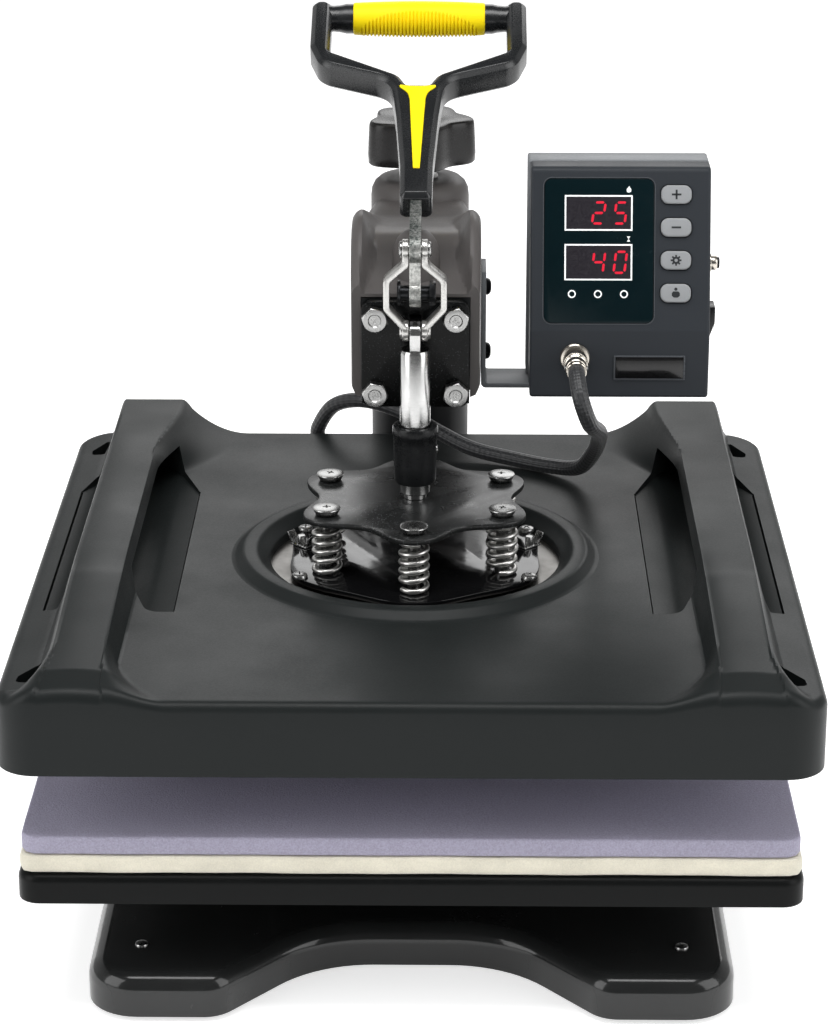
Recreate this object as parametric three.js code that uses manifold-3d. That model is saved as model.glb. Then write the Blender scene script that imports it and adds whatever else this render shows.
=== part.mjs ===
// Swing-away flat heat press: base and column, a lower platen with its pads, a swinging arm with
// a toggle clamp, a sprung heated platen under a moulded cover, and a control box on the arm.
// Millimetres, +Z up, +Y to the rear where the column stands, +X to the right seen from the front.
// Heights are counted from the table and y from the middle of the pads; the last lines move the
// whole group so that the origin lies under the middle of its box.

import * as THREE from 'three';
import { mergeVertices } from 'three/addons/utils/BufferGeometryUtils.js';
import Module from 'manifold-3d';

const wasm = await Module();
wasm.setup();

// Clearances, and how far a cutting shape runs past what it cuts
const SEAT = 0.3;
const RUN = 0.35;
const OVERRUN = 1;

// Base, its rubber feet and the column
const BASE_WIDTH = 324;
const BASE_FRONT = 190;
const BASE_BACK = 285;
const BASE_HEIGHT = 22;
const BASE_ROUND = 10;
const BASE_WALL = 4;
const BASE_CORNER = 26;
const BASE_SHOULDER_Y = 150;
const BASE_TAIL_WIDTH = 190;
const BASE_TAIL_CORNER = 34;
const ARCH_WIDTH = 190;
const ARCH_DEPTH = 55;
const ARCH_TOP_WIDTH = 96;
const ARCH_ROUND = 62;
const ARCH_LIP = 18;
const FOOT_HEIGHT = 3;
const FOOT_RADIUS = 14;
const FOOT_FRONT_X = 136;
const FOOT_FRONT_Y = 156;
const FOOT_REAR_X = 84;
const FOOT_REAR_Y = 250;
const COLUMN_Y = 237;
const COLUMN_RADIUS = 28.8;
const COLUMN_WALL = 6.4;
const COLUMN_TOP = 256;
const COLUMN_FLANGE_RADIUS = 46;
const COLUMN_FLANGE_THICK = 6;

// Lower platen on its pedestal, felt pad and silicone pad
const LOWER_GAP = 42;
const LOWER_SIDE = 385;
const LOWER_HEIGHT = 15;
const LOWER_SKIN = 3;
const LOWER_ROUND = 5;
const LOWER_CORNER = 12;
const PEDESTAL_SIDE = 84;
const PEDESTAL_WALL = 5;
const PEDESTAL_FLANGE_SIDE = 150;
const PEDESTAL_FLANGE_THICK = 5;
const FELT_INSET = 1.5;
const FELT_THICK = 9.7;
const PAD_INSET = 1;
const PAD_THICK = 9.7;
const PAD_CORNER = 8;
const PAD_ROUND = 1.5;

// Heated platen, its cover and the cover's two carrying ridges
const WORK_GAP = 35.5;
const PLATEN_INSET = 10;
const PLATEN_THICK = 12;
const BOSS_RADIUS = 8;
const COVER_LIFT = 1.5;
const COVER_SIDE = 400;
const COVER_HEIGHT = 38;
const COVER_CORNER = 20;
const COVER_ROUND = 7;
const COVER_WALL = 3;
const COVER_LOW_ROOM = 15;
const COVER_POST_RADIUS = 6;
const COVER_POST_INSET = 45;
const HOLE_RADIUS = 77;
const BEZEL_RADIUS = 96.4;
const BEZEL_CREST_RADIUS = 86;
const BEZEL_HEIGHT = 4.5;
const BEZEL_DEPTH = 5;
const RIDGE_HEIGHT = 21;
const RIDGE_X = 159;
const RIDGE_TOP_WIDTH = 25;
const RIDGE_FOOT_WIDTH = 46;
const RIDGE_BACK = 194;
const RIDGE_BREAK = 70;
const RIDGE_NOSE = 163;
const RIDGE_FRONT = 193;
const SLOT_INNER_X = 122;
const SLOT_OUTER_X = 188;
const SLOT_BACK = 95;
const SLOT_FRONT = 82;
const SLOT_DEPTH = 20;
const GRIP_THICK = 11;
const SHIELD_RADIUS = 100;
const SHIELD_THICK = 1.5;
const SHIELD_BELOW_PLATE = 4.2;

// Sprung joint between the ram and the heated platen
const BOLT_CIRCLE = 53;
const BOLT_COUNT = 6;
const SUSPENSION_RADIUS = 68;
const SUSPENSION_WAVE = 2.5;
const SPIDER_RADIUS = 58;
const SPIDER_WAVE = 7;
const PLATE_THICK = 3;
const SPIDER_RISE = 32;
const SPRING_RADIUS = 7;
const SPRING_WIRE = 2.4;
const SPRING_TURNS = 6.5;
const BOLT_RADIUS = 3.2;
const BOLT_HEAD_RADIUS = 7.3;
const BOLT_HEAD_HEIGHT = 4;
const BOLT_THREAD = 9;

// Ram and its coupling sleeve
const ROD_RADIUS = 8;
const ROD_FOOT_RADIUS = 7.5;
const ROD_TOP = 291;
const ROD_STUD_RADIUS = 5;
const ROD_STUD_LENGTH = 2;
const SLEEVE_RADIUS = 12;
const SLEEVE_TAPER = 1;
const SLEEVE_LOW = 218;
const SLEEVE_HIGH = 249.5;
const BLADE_THICK = 5.6;
const BLADE_FRONT = 6;
const BLADE_BACK = 22;
const BLADE_EYE_RADIUS = 5;
const BLADE_TAIL_LOW = 290;
const BLADE_TAIL_HIGH = 304;

// Shares that shape the moulded and turned ends
const RIDGE_NOSE_SHARE = 0.125;
const RIDGE_DIP_SHARE = 0.083333;
const BEZEL_BACK_SHARE = 0.8;
const BEZEL_LIP_SHARE = 0.25;
const HEAD_TOP_SHARE = 0.92;
const DRUM_BREAK_SHARE = 0.3;
const KNOB_TOP_SHARES = [0.97, 0.86];
const KNOB_BREAK_SHARE = 0.333333;
const GRIP_WAIST_SHARE = 0.333333;
const ROCKER_FOOT_SHARE = 0.8;
const ROCKER_TIP_SHARE = 0.8;
const ROCKER_END_SHARE = 0.9;
const FUSE_COLLAR_SHARE = 0.6;
const FUSE_CAP_SHARE = 0.8;

// Toggle: fixed pivot A, lever pin B above it, ram pin C below it
const PIVOT_Z = 321.4;
const CRANK = 23.3;
const LINK_LENGTH = 43.7;
const LINK_THICK = 3.2;
const LINK_DEPTH = 10;
const LINK_INSIDE = 3.4;
const LINK_BOW = 13.3;
const LINK_EYE_RADIUS = 5.5;
const LINK_BEND_TOP_LOW = 16.8;
const LINK_BEND_TOP_HIGH = 8.2;
const LINK_BEND_FOOT_LOW = 2.4;
const LINK_BEND_FOOT_HIGH = 13.2;
const RIVET_RADIUS = 4.4;
const RIVET_HEIGHT = 1.6;
const PIVOT_RADIUS = 4;
const LINK_PIN_RADIUS = 3.5;
const LEVER_THICK = 6;
const LEVER_EYE_RADIUS = 7.5;
const LEVER_BAR_HEIGHT = 10;
const LEVER_REACH = 58;
const HANDLE_LEAN = THREE.MathUtils.degToRad(23);

// Clamp bracket on the arm's front
const BRACKET_WIDTH = 57;
const BRACKET_LOW = 255;
const BRACKET_HIGH = 313;
const BRACKET_Y = 12.5;
const BRACKET_THICK = 6;
const BRACKET_CORNER = 5;
const EAR_THICK = 3.7;
const EAR_GAP = 3.5;
const EAR_RADIUS = 7;
const EAR_ROOT_RISE = 9;
const CHEEK_WIDTH = 4.8;
const CHEEK_DEPTH = 6;
const CHEEK_DROP = 8;
const PLATE_BOLT_X = 21.25;
const PLATE_BOLT_LOW = 263;
const PLATE_BOLT_HIGH = 304;
const PLATE_BOLT_RADIUS = 3.9;
const PLATE_BOLT_HEAD = 7.4;
const PLATE_BOLT_HEAD_THICK = 4.7;
const WASHER_RADIUS = 7;
const WASHER_THICK = 1.3;

// Swinging arm and its cover
const FLANGE_THICK = 8;
const BEAM_HALF_WIDTH = 22;
const BEAM_LOW = 264;
const BEAM_HIGH = 306;
const BEAM_WALL = 4;
const SPIGOT_DEPTH = 110;
const COLLAR_RADIUS = 26;
const ARM_HALF_WIDTH = 34.5;
const ARM_LOW = 258;
const ARM_HEIGHT = 91;
const ARM_WALL = 2.5;
const ARM_SHOULDER = 8;
const ARM_LOW_CHAMFER = 6;
const DRUM_TOP = 323;
const DRUM_ROUND = 9;
// Each station: share of the arm's length, of its half width, of its height at the crest and at
// the valley in the middle, and the valley's share of the half width
const ARM_STATION_SHARES = [
  [0, 1, 0.9, 0.72, 0.3],
  [0.1, 1, 1, 0.86, 0.3],
  [0.2, 1, 1, 0.9, 0.34],
  [0.42, 0.98, 0.83, 0.78, 0.4],
  [0.74, 0.9, 0.65, 0.64, 0.5],
  [0.95, 0.77, 0.61, 0.61, 0.5],
];

// Pressure knob
const KNOB_RADIUS = 29;
const KNOB_WAVE = 3.5;
const KNOB_LOBES = 5;
const KNOB_HEIGHT = 26;
const KNOB_RISE = 10;
const KNOB_ROUND = 4;
const KNOB_START = THREE.MathUtils.degToRad(-81);
const LOBE_STEPS = 8;
const SCREW_RADIUS = 5;
const SCREW_DEPTH = 26;
const SCREW_NUT_RADIUS = 9;
const SCREW_NUT_THICK = 4;

// Handle: a Y-shaped yoke in its own plane, u along the lever from pin B
const YOKE_THICK = 17;
const YOKE_CHAMFER = 2.3;
const YOKE_FOOT = 35;
const YOKE_HALF_WIDTH = 60;
const YOKE_END = 214;
const POST_WIDTH = 11;
const GRIP_AXIS = 207;
const GRIP_END_RADIUS = 7.2;
const GRIP_CORE_RADIUS = 8.3;
const GRIP_HALF_LENGTH = 41;
const GRIP_EDGE_RADIUS = 9.4;
const GRIP_RADIUS = 10.3;
const INLAY_DEPTH = 1.2;
const INLAY_PROUD = 0.4;
// Right half of the yoke's outline: shares of the half width and of the yoke's end, and the
// corner's radius as a share of the half width
const YOKE_OUTLINE_SHARES = [
  [0.14, 0.164, 0],
  [0.145, 0.3, 0.5],
  [0.19, 0.5, 0.6],
  [0.24, 0.645, 0.25],
  [0.9, 0.715, 0.22],
  [1, 0.8, 0.15],
  [1, 1, 0],
  [0.817, 1, 0],
  [0.817, 0.775, 0.06],
  [0.18, 0.672, 0.12],
  [0.1, 0.628, 0.06],
];
// Right half of the yellow inlay's outline, in the same shares
const INLAY_OUTLINE_SHARES = [
  [0.03, 0.27],
  [0.072, 0.56],
  [0.09, 0.586],
  [0.165, 0.608],
  [0.165, 0.618],
  [0.06, 0.612],
];

// Control box, its bracket and what is set into it
const BOX_LEFT = 60.3;
const BOX_WIDTH = 94.5;
const BOX_FRONT = 20;
const BOX_LIP_HEIGHT = 37;
const BOX_FACE_RUN = 25;
const BOX_HEIGHT = 119;
const BOX_SPLIT = 60;
const BOX_BACK = 78;
const BOX_WALL = 2.5;
const BOX_ROUND = 4;
const BOX_PROUD = 1.2;
const WINDOW_WIDTH = 52;
const WINDOW_HEIGHT = 77;
const WINDOW_U = -13;
const WINDOW_V = 41;
const WINDOW_THICK = 1.4;
const WINDOW_CORNER = 4;
const BUTTON_WIDTH = 16;
const BUTTON_HEIGHT = 9.8;
const BUTTON_CORNER = 4;
const BUTTON_PROUD = 1.6;
const BUTTON_DEEP = 5;
const BUTTON_U = 29;
const BUTTON_V = 20;
const BUTTON_PITCH = 17.2;
const SOCKET_X = 84;
const SOCKET_Z = 280.5;
const SOCKET_FLANGE_RADIUS = 8;
const SOCKET_RADIUS = 6.6;
const SOCKET_LENGTH = 26;
const SOCKET_FLANGE_THICK = 3;
const FUSE_Y = 50;
const FUSE_Z = 324;
const FUSE_RADIUS = 4.8;
const FUSE_LENGTH = 6.2;
const SWITCH_Y = 50;
const SWITCH_Z = 293;
const SWITCH_HEIGHT = 20;
const SWITCH_WIDTH = 13;
const SWITCH_PROUD = 4.6;
const SWITCH_DEEP = 2.2;
const SWITCH_TILT = THREE.MathUtils.degToRad(10);
const INLET_WIDTH = 30;
const INLET_HEIGHT = 24;
const INLET_THICK = 4;
const INLET_Z = 300;
const ANGLE_THICK = 2.5;
const ANGLE_FRONT = 45;
const ANGLE_BACK = 72;
const ANGLE_HEIGHT = 62;
const ANGLE_REACH = 32;

// Heater cable and the elbow gland on the rear of the cover
const CABLE_RADIUS = 4.4;
const CABLE_STEP = 22;
const CABLE_SIDES = 8;
const GLAND_X = -60;
const GLAND_WIDTH = 18;
const GLAND_DEPTH = 16;
const GLAND_LOW = 145;
const GLAND_HIGH = 161;
const GLAND_NUT_RADIUS = 6.8;
const GLAND_NUT_HEIGHT = 7;
const CABLE_ROUTE = [
  [86, -24, 271],
  [91, -17, 256],
  [97, 12, 242],
  [99, 48, 226],
  [98, 82, 206],
  [91, 110, 187],
  [75, 126, 182],
  [53, 139, 182],
  [31, 150, 184],
  [12, 161, 190],
  [-10, 172, 199],
  [-32, 183, 202],
  [-50, 198, 194],
];

// Sides and levels that follow from the sizes above
const FELT_SIDE = LOWER_SIDE - 2 * FELT_INSET;
const PAD_SIDE = FELT_SIDE - 2 * PAD_INSET;
const PLATEN_SIDE = COVER_SIDE - 2 * PLATEN_INSET;
const BASE_LOW = FOOT_HEIGHT;
const BASE_TOP = BASE_LOW + BASE_HEIGHT;
const LOWER_LOW = BASE_TOP + LOWER_GAP;
const LOWER_TOP = LOWER_LOW + LOWER_HEIGHT;
const FELT_LOW = LOWER_TOP + SEAT;
const PAD_LOW = FELT_LOW + FELT_THICK + SEAT;
const PAD_TOP = PAD_LOW + PAD_THICK;
const PLATEN_LOW = PAD_TOP + WORK_GAP;
const PLATEN_TOP = PLATEN_LOW + PLATEN_THICK;
const COVER_LOW = PLATEN_LOW + COVER_LIFT;
const DECK = COVER_LOW + COVER_HEIGHT;
const SUSPENSION_LOW = DECK - PLATE_THICK;
const SPIDER_LOW = DECK + SPIDER_RISE - PLATE_THICK;
const SPIDER_TOP = SPIDER_LOW + PLATE_THICK;
const PIN_B_Z = PIVOT_Z + CRANK;
const PIN_C_Z = PIN_B_Z - LINK_LENGTH;
const FLANGE_FRONT = BRACKET_Y + BRACKET_THICK + SEAT;
const ARM_FRONT = FLANGE_FRONT;
const KNOB_LOW = DRUM_TOP + KNOB_RISE;
const BOX_LOW = ARM_LOW;
const BOX_RIGHT = BOX_LEFT + BOX_WIDTH;

// Steps of round shapes
const SMALL_SIDES = 12;
const SIDES = 20;
const FINE_SIDES = 48;
const FILLET_STEPS = 3;
const HEX_SIDES = 6;
const SPRING_STEPS = 8;
const SPRING_SIDES = 5;

// A closed geometry with shared vertices and outward faces becomes a solid
function solid(geometry) {
  const bare = geometry.clone();
  bare.deleteAttribute('normal');
  bare.deleteAttribute('uv');
  const merged = mergeVertices(bare);
  const points = merged.attributes.position.array;
  const corners = [];
  let volume = 0;
  for (let i = 0; i < merged.index.count; i += 3) {
    const [a, b, c] = [0, 1, 2].map((k) => merged.index.getX(i + k));
    if (a === b || b === c || c === a) continue;
    corners.push(a, b, c);
    const [p, q, r] = [a, b, c].map((k) => new THREE.Vector3().fromArray(points, 3 * k));
    volume += p.dot(q.cross(r));
  }
  if (volume < 0) corners.reverse();
  const mesh = new wasm.Mesh({
    numProp: 3,
    vertProperties: new Float32Array(points),
    triVerts: new Uint32Array(corners),
  });
  return new wasm.Manifold(mesh);
}

function geometryOf(body) {
  const mesh = body.getMesh();
  const geometry = new THREE.BufferGeometry();
  geometry.setAttribute('position', new THREE.BufferAttribute(mesh.vertProperties, 3));
  geometry.setIndex(new THREE.BufferAttribute(mesh.triVerts, 1));
  return geometry;
}

function joined(...bodies) {
  return bodies.reduce((whole, body) => whole.add(body));
}

function cut(body, ...tools) {
  return tools.reduce((rest, tool) => rest.subtract(tool), body);
}

function block(x0, x1, y0, y1, z0, z1) {
  const geometry = new THREE.BoxGeometry(x1 - x0, y1 - y0, z1 - z0);
  geometry.translate((x0 + x1) / 2, (y0 + y1) / 2, (z0 + z1) / 2);
  return solid(geometry);
}

function cylinderZ(radius, low, high, x = 0, y = 0, sides = SIDES, topRadius = radius) {
  const geometry = new THREE.CylinderGeometry(topRadius, radius, high - low, sides);
  geometry.rotateX(Math.PI / 2);
  geometry.translate(x, y, (low + high) / 2);
  return solid(geometry);
}

function cylinderX(radius, left, right, y, z, sides = SIDES) {
  const geometry = new THREE.CylinderGeometry(radius, radius, right - left, sides);
  geometry.rotateZ(Math.PI / 2);
  geometry.translate((left + right) / 2, y, z);
  return solid(geometry);
}

function cylinderY(radius, front, back, x, z, sides = SIDES) {
  const geometry = new THREE.CylinderGeometry(radius, radius, back - front, sides);
  geometry.translate(x, (front + back) / 2, z);
  return solid(geometry);
}

function extruded(points, depth, bevel = {}) {
  const shape = new THREE.Shape(points.map(([x, y]) => new THREE.Vector2(x, y)));
  return new THREE.ExtrudeGeometry(shape, { depth, bevelEnabled: false, ...bevel });
}

function prismZ(points, low, high) {
  return solid(extruded(points, high - low).translate(0, 0, low));
}

// Points are [y, z], drawn out along X
function prismX(points, left, right) {
  const turn = new THREE.Matrix4().makeBasis(
    new THREE.Vector3(0, 1, 0), new THREE.Vector3(0, 0, 1), new THREE.Vector3(1, 0, 0));
  return solid(extruded(points, right - left).applyMatrix4(turn).translate(left, 0, 0));
}

// Points are [x, z], drawn out along Y
function prismY(points, front, back) {
  return solid(extruded(points, back - front).rotateX(Math.PI / 2).translate(0, back, 0));
}

// A polygon whose corners [x, y, radius] are rounded with short arcs
function filleted(corners, steps = FILLET_STEPS) {
  const outline = [];
  corners.forEach(([x, y, radius = 0], i) => {
    const corner = new THREE.Vector2(x, y);
    const before = corners[(i + corners.length - 1) % corners.length];
    const after = corners[(i + 1) % corners.length];
    const back = new THREE.Vector2(before[0], before[1]).sub(corner);
    const ahead = new THREE.Vector2(after[0], after[1]).sub(corner);
    const half = Math.acos(back.dot(ahead) / back.length() / ahead.length()) / 2;
    const room = Math.min(back.length(), ahead.length()) / 2;
    const reach = Math.min(radius / Math.tan(half), room);
    if (radius === 0 || Math.PI / 2 - half < Math.PI / 180) {
      outline.push([x, y]);
      return;
    }
    const arc = reach * Math.tan(half);
    const start = back.setLength(reach).add(corner);
    const end = ahead.setLength(reach).add(corner);
    const middle = start.clone().add(end).multiplyScalar(1 / 2).sub(corner);
    const centre = middle.setLength(Math.hypot(arc, reach)).add(corner);
    const from = start.sub(centre);
    const turn = from.clone().cross(end.sub(centre));
    const sweep = Math.sign(turn) * (Math.PI - 2 * half);
    for (let k = 0; k <= steps; k += 1) {
      const point = from.clone().rotateAround(new THREE.Vector2(), sweep * k / steps).add(centre);
      outline.push([point.x, point.y]);
    }
  });
  return outline.filter(([x, y], i) => {
    const [px, py] = outline[(i + outline.length - 1) % outline.length];
    return Math.hypot(x - px, y - py) > SEAT / 100;
  });
}

// The right half of an outline gets its mirrored left half
function mirrored(half) {
  return [...half, ...half.slice().reverse().map(([x, ...rest]) => [-x, ...rest])];
}

function roundedRectangle(halfX, halfY, radius, steps = FILLET_STEPS) {
  const outline = [];
  [[1, 1], [-1, 1], [-1, -1], [1, -1]].forEach(([sx, sy], quarter) => {
    for (let k = 0; k <= steps; k += 1) {
      const angle = (quarter + k / steps) * Math.PI / 2;
      const x = sx * (halfX - radius) + radius * Math.cos(angle);
      const y = sy * (halfY - radius) + radius * Math.sin(angle);
      outline.push([x, y]);
    }
  });
  return outline;
}

// An outline drawn anticlockwise grows by the same amount along every edge
function grown(points, by) {
  const across = ([ax, ay], [bx, by2]) => new THREE.Vector2(by2 - ay, ax - bx).normalize();
  return points.map((point, i) => {
    const before = points[(i + points.length - 1) % points.length];
    const after = points[(i + 1) % points.length];
    const first = across(before, point);
    const second = across(point, after);
    const mitre = first.clone().add(second).normalize();
    const out = mitre.multiplyScalar(by / mitre.dot(first));
    return [point[0] + out.x, point[1] + out.y];
  });
}

// Rings of equal count are skinned and capped
function loft(rings) {
  const count = rings[0].length;
  const points = rings.flat();
  const index = [];
  for (let k = 0; k + 1 < rings.length; k += 1) {
    for (let i = 0; i < count; i += 1) {
      const j = (i + 1) % count;
      index.push(k * count + i, k * count + j, (k + 1) * count + j);
      index.push(k * count + i, (k + 1) * count + j, (k + 1) * count + i);
    }
  }
  [[rings[0], 0, true], [rings.at(-1), (rings.length - 1) * count, false]].forEach(([ring, first, low]) => {
    const centre = points.length;
    const sum = ring.reduce((total, p) => total.add(new THREE.Vector3(...p)), new THREE.Vector3());
    points.push(sum.divideScalar(count).toArray());
    for (let i = 0; i < count; i += 1) {
      const j = (i + 1) % count;
      index.push(centre, first + (low ? j : i), first + (low ? i : j));
    }
  });
  const geometry = new THREE.BufferGeometry();
  geometry.setAttribute('position', new THREE.Float32BufferAttribute(points.flat(), 3));
  geometry.setIndex(index);
  return geometry;
}

// A flat slab with round corners and a rounded top edge
function slab(side, corner, low, high, round, steps = 3) {
  const rings = [[0, low], [0, high - round]];
  for (let k = 1; k <= steps; k += 1) {
    const angle = k / steps * Math.PI / 2;
    rings.push([round * (1 - Math.cos(angle)), high - round * (1 - Math.sin(angle))]);
  }
  return solid(loft(rings.map(([inset, z]) => roundedRectangle(
    side / 2 - inset, side / 2 - inset, corner - inset).map(([x, y]) => [x, y, z]))));
}

// A square room with round corners
function room(half, corner, low, high) {
  return prismZ(roundedRectangle(half, half, corner), low, high);
}

// A profile of [radius, height] turned about the z axis
function turned(profile, sides = SIDES) {
  const points = profile.map(([radius, z]) => new THREE.Vector2(radius, z));
  return new THREE.LatheGeometry(points, sides).rotateX(Math.PI / 2);
}

function wavy(radius, wave, lobes, start, sides) {
  return Array.from({ length: sides }, (_, i) => {
    const angle = i / sides * 2 * Math.PI;
    const reach = radius + wave * Math.cos(lobes * (angle - start));
    return [reach * Math.cos(angle), reach * Math.sin(angle)];
  });
}

const press = new THREE.Group();
const finishes = {
  blackPaint: { color: 0x161718, roughness: 0.35, metalness: 0.4 },
  satinBlack: { color: 0x1b1c1d, roughness: 0.5, metalness: 0.3 },
  coverPlastic: { color: 0x3a3c3c, roughness: 0.6, metalness: 0 },
  armPlastic: { color: 0x4e4a4a, roughness: 0.55, metalness: 0 },
  boxPlastic: { color: 0x35373a, roughness: 0.55, metalness: 0 },
  greyMetal: { color: 0xa4a6a8, roughness: 0.4, metalness: 0.8 },
  steel: { color: 0xc4c5c6, roughness: 0.25, metalness: 1 },
  aluminium: { color: 0xb9bbbd, roughness: 0.4, metalness: 0.9 },
  yokeBlack: { color: 0x1f2225, roughness: 0.5, metalness: 0 },
  yellow: { color: 0xf7df10, roughness: 0.5, metalness: 0 },
  rubber: { color: 0x18181a, roughness: 0.8, metalness: 0 },
  felt: { color: 0xefe9da, roughness: 0.95, metalness: 0 },
  silicone: { color: 0xa7a3b6, roughness: 0.8, metalness: 0 },
  glass: { color: 0x0d2126, roughness: 0.15, metalness: 0 },
  buttonGrey: { color: 0x97989a, roughness: 0.6, metalness: 0 },
};

function piece(name, body, finish) {
  const geometry = body instanceof THREE.BufferGeometry ? body : geometryOf(body);
  const mesh = new THREE.Mesh(geometry, new THREE.MeshStandardMaterial(finishes[finish]));
  mesh.name = name;
  press.add(mesh);
}

// Base frame: a rounded shell with an arch between its front feet
function basePrism(inset, low, high) {
  const half = BASE_WIDTH / 2;
  const outline = filleted(mirrored([
    [ARCH_TOP_WIDTH / 2, -BASE_FRONT + ARCH_DEPTH, ARCH_ROUND],
    [ARCH_WIDTH / 2, -BASE_FRONT, ARCH_LIP],
    [half, -BASE_FRONT, BASE_CORNER],
    [half, BASE_SHOULDER_Y, BASE_CORNER],
    [BASE_TAIL_WIDTH / 2, BASE_BACK, BASE_TAIL_CORNER],
  ]));
  const geometry = extruded(outline, high - low, {
    bevelEnabled: true,
    bevelSize: BASE_ROUND,
    bevelOffset: -BASE_ROUND - inset,
    bevelThickness: BASE_ROUND,
    bevelSegments: 2,
  });
  geometry.translate(0, 0, low - BASE_ROUND);
  return solid(geometry);
}

const wide = BASE_WIDTH + BASE_BACK;
const baseShell = basePrism(0, BASE_LOW, BASE_TOP)
  .intersect(block(-wide, wide, -wide, wide, BASE_LOW, BASE_TOP));
const baseRoom = basePrism(BASE_WALL, BASE_LOW, BASE_TOP - BASE_WALL);
const footPlaces = {
  foot_front_left: [-FOOT_FRONT_X, -FOOT_FRONT_Y],
  foot_front_right: [FOOT_FRONT_X, -FOOT_FRONT_Y],
  foot_rear_left: [-FOOT_REAR_X, FOOT_REAR_Y],
  foot_rear_right: [FOOT_REAR_X, FOOT_REAR_Y],
};
const footBosses = Object.values(footPlaces).map(([x, y]) => cylinderZ(
  FOOT_RADIUS, BASE_LOW, BASE_TOP - BASE_WALL / 2, x, y));
piece('base_frame', joined(cut(baseShell, baseRoom), ...footBosses), 'blackPaint');
for (const [name, [x, y]] of Object.entries(footPlaces)) {
  const foot = cylinderZ(FOOT_RADIUS - BASE_WALL / 2, 0, BASE_LOW - SEAT, x, y, SIDES, FOOT_RADIUS - SEAT);
  piece(name, foot, 'rubber');
}

// Column: a tube on a round flange, open at both ends, with the arm's spigot turning inside it
const columnLow = BASE_TOP + SEAT;
piece('column', cut(
  joined(
    cylinderZ(COLUMN_RADIUS, columnLow, COLUMN_TOP, 0, COLUMN_Y, FINE_SIDES),
    cylinderZ(COLUMN_FLANGE_RADIUS, columnLow, columnLow + COLUMN_FLANGE_THICK, 0, COLUMN_Y, FINE_SIDES),
  ),
  cylinderZ(COLUMN_RADIUS - COLUMN_WALL, columnLow - OVERRUN, COLUMN_TOP + OVERRUN, 0, COLUMN_Y, FINE_SIDES),
), 'satinBlack');

// Pedestal between the base and the lower platen
const pedestalLow = BASE_TOP + SEAT;
const pedestalTop = LOWER_TOP - LOWER_SKIN - SEAT;
const post = PEDESTAL_SIDE / 2;
const plate = PEDESTAL_FLANGE_SIDE / 2;
const postRoom = post - PEDESTAL_WALL;
piece('platen_pedestal', cut(
  joined(
    block(-post, post, -post, post, pedestalLow, pedestalTop),
    block(-plate, plate, -plate, plate, pedestalLow, pedestalLow + PEDESTAL_FLANGE_THICK),
    block(-plate, plate, -plate, plate, pedestalTop - PEDESTAL_FLANGE_THICK, pedestalTop),
  ),
  block(-postRoom, postRoom, -postRoom, postRoom, pedestalLow - OVERRUN, pedestalTop + OVERRUN),
), 'satinBlack');

// Lower platen: a folded tray, and the two pads on it
const trayRoom = LOWER_SIDE / 2 - LOWER_SKIN;
piece('lower_platen', cut(
  slab(LOWER_SIDE, LOWER_CORNER, LOWER_LOW, LOWER_TOP, LOWER_ROUND),
  room(trayRoom, LOWER_CORNER - LOWER_SKIN, LOWER_LOW - OVERRUN, LOWER_TOP - LOWER_SKIN),
), 'satinBlack');
piece('felt_pad', slab(FELT_SIDE, PAD_CORNER, FELT_LOW, FELT_LOW + FELT_THICK, PAD_ROUND, 1), 'felt');
piece('silicone_pad', slab(PAD_SIDE, PAD_CORNER, PAD_LOW, PAD_TOP, PAD_ROUND, 1), 'silicone');

// Places of the six shoulder bolts, one of them in front on the centre line
const boltPlaces = Array.from({ length: BOLT_COUNT }, (_, i) => {
  const angle = (i + 0.5) / BOLT_COUNT * 2 * Math.PI;
  return [BOLT_CIRCLE * Math.cos(angle), BOLT_CIRCLE * Math.sin(angle)];
});
const lobeStart = Math.PI / BOLT_COUNT;
const holesAt = (radius, low, high) => boltPlaces.map(
  ([x, y]) => cylinderZ(radius, low, high, x, y, SMALL_SIDES));

// Heated platen: a flat casting whose bosses carry the suspension plate
const bossTop = SUSPENSION_LOW - SEAT;
const threadLow = bossTop - BOLT_THREAD;
piece('heat_platen', cut(
  joined(
    slab(PLATEN_SIDE, PAD_CORNER, PLATEN_LOW, PLATEN_TOP, PAD_ROUND, 1),
    ...holesAt(BOSS_RADIUS, PLATEN_TOP - OVERRUN, bossTop),
  ),
  ...holesAt(BOLT_RADIUS + SEAT, threadLow, bossTop + OVERRUN),
), 'aluminium');

// Thin steel shield over the heating element, round the bosses
const shieldTop = SUSPENSION_LOW - SHIELD_BELOW_PLATE + SHIELD_THICK;
piece('heat_shield', cut(
  cylinderZ(SHIELD_RADIUS, shieldTop - SHIELD_THICK, shieldTop, 0, 0, FINE_SIDES),
  ...holesAt(BOSS_RADIUS + SEAT, shieldTop - SHIELD_THICK - OVERRUN, shieldTop + OVERRUN),
), 'greyMetal');

// Platen cover: skirt, deck with a moulded bezel, and two hollow ridges to carry it by
function ridge(side) {
  const top = DECK + RIDGE_HEIGHT;
  const nose = DECK + RIDGE_HEIGHT * RIDGE_NOSE_SHARE;
  const foot = DECK - COVER_ROUND;
  const section = (y, high) => {
    const spread = (high - foot) / (top - foot);
    const half = RIDGE_FOOT_WIDTH / 2 + (RIDGE_TOP_WIDTH - RIDGE_FOOT_WIDTH) / 2 * spread;
    return [
      [side * RIDGE_X - RIDGE_FOOT_WIDTH / 2, y, foot],
      [side * RIDGE_X + RIDGE_FOOT_WIDTH / 2, y, foot],
      [side * RIDGE_X + half, y, high],
      [side * RIDGE_X - half, y, high],
    ];
  };
  return solid(loft([
    section(RIDGE_BACK, top),
    section(-RIDGE_BREAK, top - RIDGE_HEIGHT * RIDGE_DIP_SHARE),
    section(-RIDGE_NOSE, nose),
    section(-RIDGE_FRONT, DECK - COVER_ROUND / 2),
  ]));
}

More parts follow.
